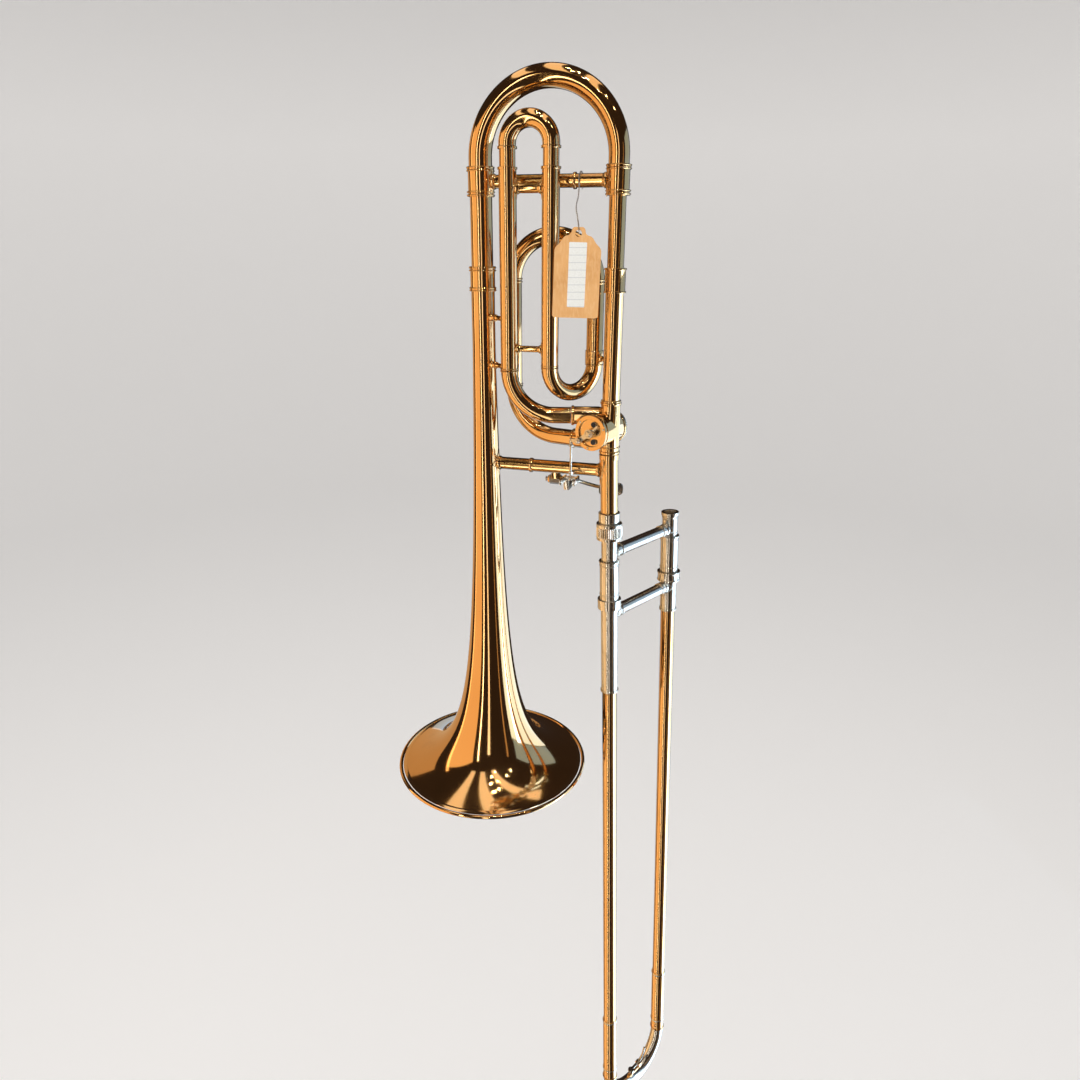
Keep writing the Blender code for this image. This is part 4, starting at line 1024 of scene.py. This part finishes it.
def stop_arm():
    """The arm on the rotor's spindle, with its washer, its screw and the link's screw."""
    bevelled_copy("stop_arm")
    face = at_valve(0, -25.4, 0)
    washer = softened(in_mm((-0.3, 0), (-0.3, 3.6), (0.5, 3.6), (0.5, 0)), 0.2 * MM, False)
    piece("stop_arm_washer", lathe(face, -VALVE_BACK, washer, SMALL_SIDES), "rotor", "nickel_silver")
    screw_head("stop_arm_screw", face - VALVE_BACK * 0.4 * MM, -VALVE_BACK, 2.9 * MM, 1.2 * MM, "rotor")
    stud = LINK_TOP - VALVE_BACK * 1.8 * MM
    screw_head("link_screw", stud, -VALVE_BACK, 1.9 * MM, 0.9 * MM, "rotor")


def link_rod():
    """The rod from the stop arm's stud to the trigger's fork: an eye, a shaft and a ball."""
    foot = LINK_TOP - VALVE_SIDE * LINK_SLANT
    foot.z = bottom("link_rod") + LINK_BALL_R
    length = LINK_TOP.z + 1.2 * MM - foot.z
    made = lathe(LINK_TOP, -VALVE_BACK, ring_outline(*mm(-1.9, 1.4, 1.6, 3.0, 0.35)), 40)
    neck = LINK_TOP - (VALVE_SIDE * 5.1 - VALVE_BACK * 0.25) * MM
    made = boolean(made, block(neck, mm(5.4, 2.8, 3.4), (VALVE_SIDE, VALVE_BACK, UP)), "UNION")
    shaft = [(0, 0), (0, 1.3 * MM), (6 * MM, 1.3 * MM), (7 * MM, LINK_R), (length - 8 * MM, LINK_R)]
    shaft += [(length - 7 * MM, 1.45 * MM), (length, 1.45 * MM), (length, 0)]
    shaft = lathe(foot, UP, softened(shaft, 0.3 * MM, False), SMALL_SIDES)
    made = boolean(made, shaft, "UNION")
    turns = [math.pi * k / 16 for k in range(16)]
    ball = [(-LINK_BALL_R * math.cos(turn), LINK_BALL_R * math.sin(turn)) for turn in turns]
    made = boolean(made, lathe(foot, UP, ball + [(LINK_BALL_R, 0)], SMALL_SIDES), "UNION")
    for_node("link_rod", made, sharp=35)
    lock = ring_outline(*mm(-1.1, 1.1, 0.9, 2.3, 0.2))
    for k, rise in enumerate((5.2 * MM, length - 6.0 * MM)):
        nut = lathe(foot + UP * rise, UP, lock, 6)
        piece(f"link_lock_nut_{k + 1}", nut, "link_rod", "nickel_silver")


def linkage():
    """The link rod, and the thumb trigger on its spring hinge."""
    link_rod()
    bevelled_copy("trigger_mount")
    turned_copy("trigger_pin", ASIDE, HINGE.copy(), sides=SMALL_SIDES)
    low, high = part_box("trigger_pin")
    for name, x, way in (("trigger_pin_head", low.x, -ASIDE), ("trigger_pin_tail", high.x, ASIDE)):
        at = Vector((x, HINGE.y, HINGE.z))
        screw_head(name, at, way, 2.5 * MM, 1.0 * MM, "bell_section", "steel")
    bevelled_copy("trigger_lever", 0.45 * MM)
    base = Vector((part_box("trigger_mount")[0].x + 2 * MM, HINGE.y, HINGE.z))
    coil = helix(base, ASIDE, 4.5 * MM, 1.15 * MM, 9)
    spring = sweep(coil, 0.45 * MM, sides=10, reference=(1, 0, 0))
    piece("trigger_spring", spring, "bell_section", "steel")


# ---------------- the hand slide

SLEEVE_TOP = 156.8 * MM  # of the two silver sleeves, down the hand slide, and where each one ends
SLEEVE_ENDS = (("lower", 0.0, 251.0 * MM), ("upper", SLIDE_SPAN, 191.5 * MM))
FERRULE_RINGS = mm(800, 719)
BARREL_RINGS = mm(109.5, 140.5)
RECEIVER_RINGS = mm(84.5, 101.5)


def lock_nut():
    """The nut that holds the hand slide to the bell section, with a knurl round its middle."""
    nut, _ = outline_of("bell_lock_nut", LOWER_LINE, DOWN)
    low = min(along for along, _ in nut)
    high = max(along for along, _ in nut)
    fine = []
    for first, second in zip(nut, nut[1:] + nut[:1]):
        steps = 24 if abs(second[0] - first[0]) > 8 * MM else 1
        for k in range(steps):
            t = k / steps
            fine.append((first[0] + (second[0] - first[0]) * t, first[1] + (second[1] - first[1]) * t))
    fine = softened(fine, 0.3 * MM)
    knurl = (44, 0.55 * MM, low + 3.0 * MM, high - 3.0 * MM, 12.0 * MM)
    for_node("bell_lock_nut", lathe(LOWER_LINE, DOWN, fine, 352, knurl))


def slide_lock():
    """The lock ring on the mouthpiece side, with its thumb tab and its screw."""
    ring = in_mm((-5.1, 9.2), (4.95, 9.2), (4.95, 12.3), (3.6, 12.3))
    ring += in_mm((3.2, 11.7), (-3.4, 11.7), (-3.8, 12.3), (-5.1, 12.3))
    for_node("slide_lock_ring", lathe(UPPER_LINE, DOWN, softened(ring, 0.3 * MM), 72))
    at = UPPER_LINE + OVER * 12.8 * MM + DOWN * 1.4 * MM
    tab = block(at, mm(3.8, 4.8, 5.2), (OVER, ACROSS, DOWN), 0.7 * MM)
    piece("slide_lock_tab", tab, "slide_lock_ring", "nickel_silver")
    catch_down = (UPPER_LINE - LOWER_LINE).dot(DOWN) + SWIVEL_DOWN + 1.5 * MM
    at = slide_point(SLIDE_SPAN, catch_down) + ACROSS * 12.0 * MM
    screw_head("slide_lock_screw", at, ACROSS, 1.3 * MM, 0.6 * MM, "slide_lock_ring")


def water_key():
    """The key on its mount, with its pin's two heads, its spring and its cork."""
    bevelled_copy("water_key_mount", 0.35 * MM)
    bevelled_copy("water_key", 0.35 * MM)
    hinge = Vector(JOINTS["water_key_press"]["pos_m"])
    for k, side in enumerate((-1, 1)):
        at = hinge + ACROSS * side * 3.7 * MM
        screw_head(f"water_key_pin_{k + 1}", at, ACROSS * side, 1.4 * MM, 0.6 * MM, "outer_slide")
    coil = helix(hinge - ACROSS * 1.5 * MM, ACROSS, 2.35 * MM, 0.6 * MM, 5, 16)
    piece("water_key_spring", sweep(coil, 0.25 * MM, sides=8, reference=ACROSS), "outer_slide", "steel")
    cup = hinge - OVER * 16 * MM + DOWN * 0.2 * MM
    pad = softened(in_mm((0, 0), (0, 3.4), (0.35, 3.4), (0.35, 0)), 0.1 * MM, False)
    piece("water_key_cork", lathe(cup, DOWN, pad, 32), "water_key", "rubber", CORK)


def hand_slide():
    """The nut, the slide lock, the bow's bumper, the water key, the sleeves and their rings."""
    lock_nut()
    slide_lock()
    turned_copy("bow_bumper", DOWN, edge=1.2 * MM)
    water_key()
    for name, over, low in SLEEVE_ENDS:
        lip = low - 2.2 * MM
        sleeve = [(SLEEVE_TOP, 8.2 * MM), (low, 8.2 * MM), (low, 9.35 * MM), (lip, 9.35 * MM)]
        sleeve += [(lip, 8.55 * MM), (SLEEVE_TOP, 8.55 * MM)]
        made = lathe(slide_point(over, 0), DOWN, softened(sleeve, 0.3 * MM))
        piece(f"outer_sleeve_{name}", made, "outer_slide", "nickel_silver")
    silver = "nickel_silver"
    for name, over, _ in SLEEVE_ENDS:
        for k, down in enumerate(FERRULE_RINGS):
            at = slide_point(over, down)
            bead(f"bow_ferrule_ring_{name}_{k + 1}", at, DOWN, *mm(8.4, 2.0, 0.6), "outer_slide", silver)
        for k, down in enumerate(BARREL_RINGS):
            at = slide_point(over, down)
            bead(f"barrel_ring_{name}_{k + 1}", at, DOWN, *mm(9.5, 1.3, 0.45), "inner_slide", silver)
    for k, down in enumerate(RECEIVER_RINGS):
        at = slide_point(SLIDE_SPAN, down)
        bead(f"receiver_ring_{k + 1}", at, DOWN, *mm(8.2, 1.3, 0.45), "inner_slide", silver)


# ---------------- the price tag

TAG_LINE = Vector(JOINTS["tag_swing"]["pos_m"])
TAG_PLACE = Vector((93.0, -19.5, 486.0)) * MM
TAG_WIDTH = 40.0 * MM
TAG_HEIGHT = 74.0 * MM
TAG_THICK = 0.6 * MM
TAG_YAW = math.radians(19.0)
TAG_LEAN = math.radians(1.5)
TAG_BOW = 0.45 * MM
TAG_HOLE_R = 2.8 * MM
WIRE_R = 0.3 * MM
WIRE_SPREAD = 0.34 * MM  # from the wire's middle line to each strand's
WIRE_TWIST = 3.4 * MM  # along the wire, for one full turn
TAG_HOLE_DROP = 5.0 * MM
TAG_FLAT = Vector((math.cos(TAG_YAW), math.sin(TAG_YAW), 0))
TAG_NORMAL = TAG_FLAT.cross(UP)
TAG_UP = UP * math.cos(TAG_LEAN) + TAG_FLAT * math.sin(TAG_LEAN)
TAG_ACROSS = TAG_UP.cross(TAG_NORMAL)
TAG_HOLE = TAG_PLACE + UP * (TAG_HEIGHT - TAG_HOLE_DROP)


def sheet_plate(name, outline, thick, lift, finish=None, hole=None):
    """A thin plate in the tag's own plane, bowed a little across its width.

    outline holds (across, up) points, and lift is how far its back stands off the card's middle.
    """
    bm = bmesh.new()
    low_y = min(point[1] for point in outline)
    high_y = max(point[1] for point in outline)
    face = bm.faces.new([bm.verts.new((a, 0, b)) for a, b in outline])
    grown = bmesh.ops.extrude_face_region(bm, geom=[face])["geom"]
    moved = [item for item in grown if isinstance(item, bmesh.types.BMVert)]
    bmesh.ops.translate(bm, vec=(0, thick, 0), verts=moved)
    if hole:
        centre, radius = hole
        tool = bar((centre[0], -5 * MM, centre[1]), (centre[0], 5 * MM, centre[1]), radius, 36)
        bm = boolean(bm, tool)
    for x in [TAG_WIDTH * (k / 12 - 0.5) for k in range(1, 12)]:
        geom = bm.verts[:] + bm.edges[:] + bm.faces[:]
        bmesh.ops.bisect_plane(bm, geom=geom, plane_co=(x, 0, 0), plane_no=(1, 0, 0))
    for k in range(1, 8):
        z = low_y + (high_y - low_y) * k / 8
        geom = bm.verts[:] + bm.edges[:] + bm.faces[:]
        bmesh.ops.bisect_plane(bm, geom=geom, plane_co=(0, 0, z), plane_no=(0, 0, 1))
    for vert in bm.verts:
        a, depth, b = vert.co
        curve = TAG_BOW * (1 - (2 * a / TAG_WIDTH) ** 2) * (0.4 + 0.6 * b / TAG_HEIGHT)
        fall = TAG_HEIGHT - TAG_HOLE_DROP - b
        vert.co = TAG_HOLE + TAG_ACROSS * a - TAG_UP * fall + TAG_NORMAL * (depth + lift + curve)
    return piece(name, bm, "tag", "card", finish, sharp=40)


def tag():
    """The card with its cut corners and hole, its blank label and its wire."""
    half = TAG_WIDTH / 2
    right = [(half, 0), (half, TAG_HEIGHT - 17 * MM), (half - 5 * MM, TAG_HEIGHT - 12.5 * MM)]
    right += [(half - 8 * MM, TAG_HEIGHT - 7.5 * MM), (half - 13.5 * MM, TAG_HEIGHT - 6 * MM)]
    right += [(half - 14.5 * MM, TAG_HEIGHT - 1.5 * MM), (4 * MM, TAG_HEIGHT)]
    outline = softened(right + [(-a, b) for a, b in reversed(right)], 2.6 * MM, True, 5)
    hole = (0.0, TAG_HEIGHT - TAG_HOLE_DROP)
    made = sheet_plate("tag_card_fine", outline, TAG_THICK, -TAG_THICK / 2, hole=(hole, TAG_HOLE_R))
    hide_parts("tag_card")
    low, high = 9 * MM, 62 * MM
    wide = 7.6 * MM
    sticker = softened([(-wide, low), (wide, low), (wide, high), (-wide, high)], 0.8 * MM, True, 5)
    sheet_plate("tag_label", sticker, 0.12 * MM, TAG_THICK / 2 - 0.02 * MM, LABEL)
    tag_wire()


def tag_wire():
    """Two strands twisted together, looped round the tuning slide's brace and down to the card's hole."""
    loop = arc(TAG_LINE, (0, -1, 0), UP, 7.0 * MM, -50, 250, 14)
    route = [p + Vector((1.4 * k / 14 - 0.7, 0, 0)) * MM for k, p in enumerate(loop)][::-1]
    for step in ((-0.4, -8.2, -13), (-1.6, -10.0, -21), (0.6, -13.5, -30)):
        route.append(TAG_LINE + Vector(step) * MM)
    route.append(TAG_HOLE + (TAG_NORMAL * 3.4 + UP * 3.0) * MM)
    route.append(TAG_HOLE + TAG_NORMAL * 2.2 * MM)
    route.append(TAG_HOLE - TAG_NORMAL * 2.0 * MM)
    line = smooth_line(route, 10)
    sides = carried(line, (1, 0, 0))
    for strand in (0, 1):
        travelled = 0.0
        wound = []
        for i, (point, (side, over)) in enumerate(zip(line, sides)):
            if i:
                travelled += (point - line[i - 1]).length
            turn = 2 * math.pi * travelled / WIRE_TWIST + math.pi * strand
            wound.append(point + spoke(side, over, turn) * WIRE_SPREAD)
        made = sweep(wound, WIRE_R, sides=10, reference=(1, 0, 0))
        made = piece(f"tag_wire_strand_{strand + 1}", made, "tag", "steel")
        if strand == 0:
            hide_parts("tag_wire")


def smooth_line(points, steps):
    """A Catmull-Rom curve through the points."""
    made = []
    padded = [points[0] * 2 - points[1], *points, points[-1] * 2 - points[-2]]
    for i in range(1, len(padded) - 2):
        a, b, c, d = padded[i - 1 : i + 3]
        square = a * 2 - b * 5 + c * 4 - d
        cube = b * 3 - a - c * 3 + d
        for k in range(steps):
            t = k / steps
            made.append(0.5 * (b * 2 + (c - a) * t + square * t**2 + cube * t**3))
    made.append(points[-1])
    return made


# ---------------- stage, lights, camera

STAGE_MIDDLE = Vector((0.06, 0.0, 0.10))
FLOOR_Z = -1.16
FLOOR_R = 5.0
COVE_R = 2.5
WALL_TOP = 6.0
FLOOR_GLOW = 0.30


def stage():
    """A pale studio floor that rises all round into a plain wall. Glossy rays pass it by, so the
    brass mirrors the soft lights and not the floor."""
    m = Nodes("pale_floor")
    m.shade(Base_Color=(0.72, 0.71, 0.70, 1), Roughness=0.9, Specular_IOR_Level=0.1)
    m.shade(Emission_Color=(0.93, 0.92, 0.91, 1), Emission_Strength=FLOOR_GLOW)
    outline = [(0.0, 0.0), (0.0, FLOOR_R)]
    for k in range(1, 25):
        turn = math.pi / 2 * k / 24
        outline.append((COVE_R * (1 - math.cos(turn)), FLOOR_R + COVE_R * math.sin(turn)))
    outline += [(WALL_TOP, FLOOR_R + COVE_R), (WALL_TOP, FLOOR_R + COVE_R + 0.1)]
    bm = lathe((STAGE_MIDDLE.x, STAGE_MIDDLE.y, FLOOR_Z), UP, outline, 128)
    bmesh.ops.reverse_faces(bm, faces=bm.faces)
    floor = linked_object("floor", bm)
    floor.data.shade_smooth()
    floor.data.materials.append(m.material)
    floor.visible_glossy = False
    floor.visible_shadow = False


def softbox(name, place, size, glow, colour, target=STAGE_MIDDLE, mirrored=True, diffuse=True):
    """A flat soft light. glow is how bright its face is, so its power follows from its size."""
    light = bpy.data.lights.new(name, "AREA")
    light.shape = "RECTANGLE"
    light.size, light.size_y = size
    light.energy = 4 * size[0] * size[1] * glow
    light.color = colour
    made = bpy.data.objects.new(name, light)
    made.location = place
    way = Vector(target) - Vector(place)
    made.rotation_euler = way.to_track_quat("-Z", "Y").to_euler()
    made.visible_camera = False
    made.visible_glossy = mirrored
    made.visible_diffuse = diffuse
    bpy.context.scene.collection.objects.link(made)
    return made


def round_the_stage(turn, distance, height):
    """A place at an angle to the right of the line from the object to the camera, in degrees."""
    view = CAMERA_TURN + math.radians(turn)
    x = STAGE_MIDDLE.x + distance * math.sin(view)
    y = STAGE_MIDDLE.y - distance * math.cos(view)
    return Vector((x, y, height))


WARM = (1.0, 0.60, 0.27)
PALE = (0.72, 0.90, 1.10)
BLUE = (0.50, 0.74, 1.0)
NEUTRAL = (1.0, 0.98, 0.96)
# name, degrees right of the camera, distance, bottom, top, width, glow, colour
UPRIGHT_LIGHTS = (
    ("warm_front", -72.0, 1.5, -3.2, 1.15, 1.5, 0.85, WARM),
    ("warm_front_line", -97.0, 1.4, -3.2, 1.15, 0.12, 1.4, WARM),
    ("warm_back", -138.0, 1.6, -3.2, 1.15, 1.2, 0.45, WARM),
    ("pale_back", -165.0, 1.6, -3.2, 0.10, 0.4, 0.5, PALE),
    ("warm_line", -33.0, 1.7, -3.2, 1.15, 0.08, 5.0, (1.0, 0.86, 0.68)),
    ("front_line", -7.0, 1.9, -3.2, 1.0, 0.20, 1.5, (1.0, 0.86, 0.72)),
    ("brown_line", 40.0, 1.7, -3.2, 1.0, 0.10, 0.5, WARM),
    ("pale_side", 98.0, 1.6, -3.2, 0.33, 2.6, 1.45, PALE),
    ("pale_line", 80.0, 1.5, -3.2, 0.33, 0.36, 5.0, PALE),
    ("blue_side", 98.0, 1.6, 0.36, 1.25, 2.4, 0.5, BLUE),
)
CEILING_X = (-0.75, -0.15, 0.55)
CEILING_Z = 1.9
LAMP_Z = 1.85
LAMP_SIZE = 0.035
LAMP_GLOW = 110.0
FILL_GLOW = 1.8
# degrees right of the camera and distance of the small ceiling lamps
LAMPS = (
    (-6.0, 0.22),
    (22.0, 0.34),
    (-9.0, 0.62),
    (13.0, 0.72),
    (-3.0, 1.05),
    (8.0, 1.4),
    (38.0, 1.1),
    (46.0, 1.5),
)


def lights():
    world = bpy.data.worlds.new("studio")
    world.use_nodes = True
    background = world.node_tree.nodes["Background"]
    background.inputs["Color"].default_value = (1.0, 0.66, 0.48, 1)
    background.inputs["Strength"].default_value = 0.032
    bpy.context.scene.world = world
    for name, turn, distance, low, high, width, glow, colour in UPRIGHT_LIGHTS:
        height = (low + high) / 2
        place = round_the_stage(turn, distance, height)
        level = Vector((STAGE_MIDDLE.x, STAGE_MIDDLE.y, height))
        softbox(name, place, (width, high - low), glow, colour, level, diffuse=False)
    for k, x in enumerate(CEILING_X):
        place = Vector((x, -0.3, CEILING_Z))
        softbox(f"ceiling_{k + 1}", place, (0.28, 2.4), 0.9, (1.0, 0.80, 0.58), place - UP, diffuse=False)
    for k, (turn, distance) in enumerate(LAMPS):
        place = round_the_stage(turn, distance, LAMP_Z)
        size = (LAMP_SIZE, LAMP_SIZE)
        softbox(f"small_lamp_{k + 1}", place, size, LAMP_GLOW, (1.0, 0.93, 0.82), diffuse=False)
    softbox("fill", (0.0, -0.8, 3.6), (4.5, 4.5), FILL_GLOW, NEUTRAL, mirrored=False)
    softbox("fill_front", (0.6, -3.6, 1.2), (3.0, 2.5), FILL_GLOW, NEUTRAL, mirrored=False)


def camera():
    bpy.context.scene.view_settings.view_transform = "Standard"
    c, s = math.cos(CAMERA_TURN), math.sin(CAMERA_TURN)
    level = math.cos(CAMERA_PITCH)
    right = Vector((c, s, 0))
    ahead = Vector((-s * level, c * level, -math.sin(CAMERA_PITCH)))
    above = right.cross(ahead)
    c, s = math.cos(CAMERA_ROLL), math.sin(CAMERA_ROLL)
    right, above = right * c + above * s, above * c - right * s
    data = bpy.data.cameras.new("camera")
    data.lens = CAMERA_LENS
    data.sensor_width = SENSOR
    data.clip_start = 0.02
    data.clip_end = 60.0
    made = bpy.data.objects.new("camera", data)
    turn = Matrix([right, above, -ahead]).transposed().to_4x4()
    made.matrix_world = Matrix.Translation(CAMERA_PLACE) @ turn
    bpy.context.scene.collection.objects.link(made)
    bpy.context.scene.camera = made


camera()
bell()
straight_tubes()
bows()
elbows()
tube_rings()
braces()
valve()
linkage()
hand_slide()
tag()
stage()
lights()
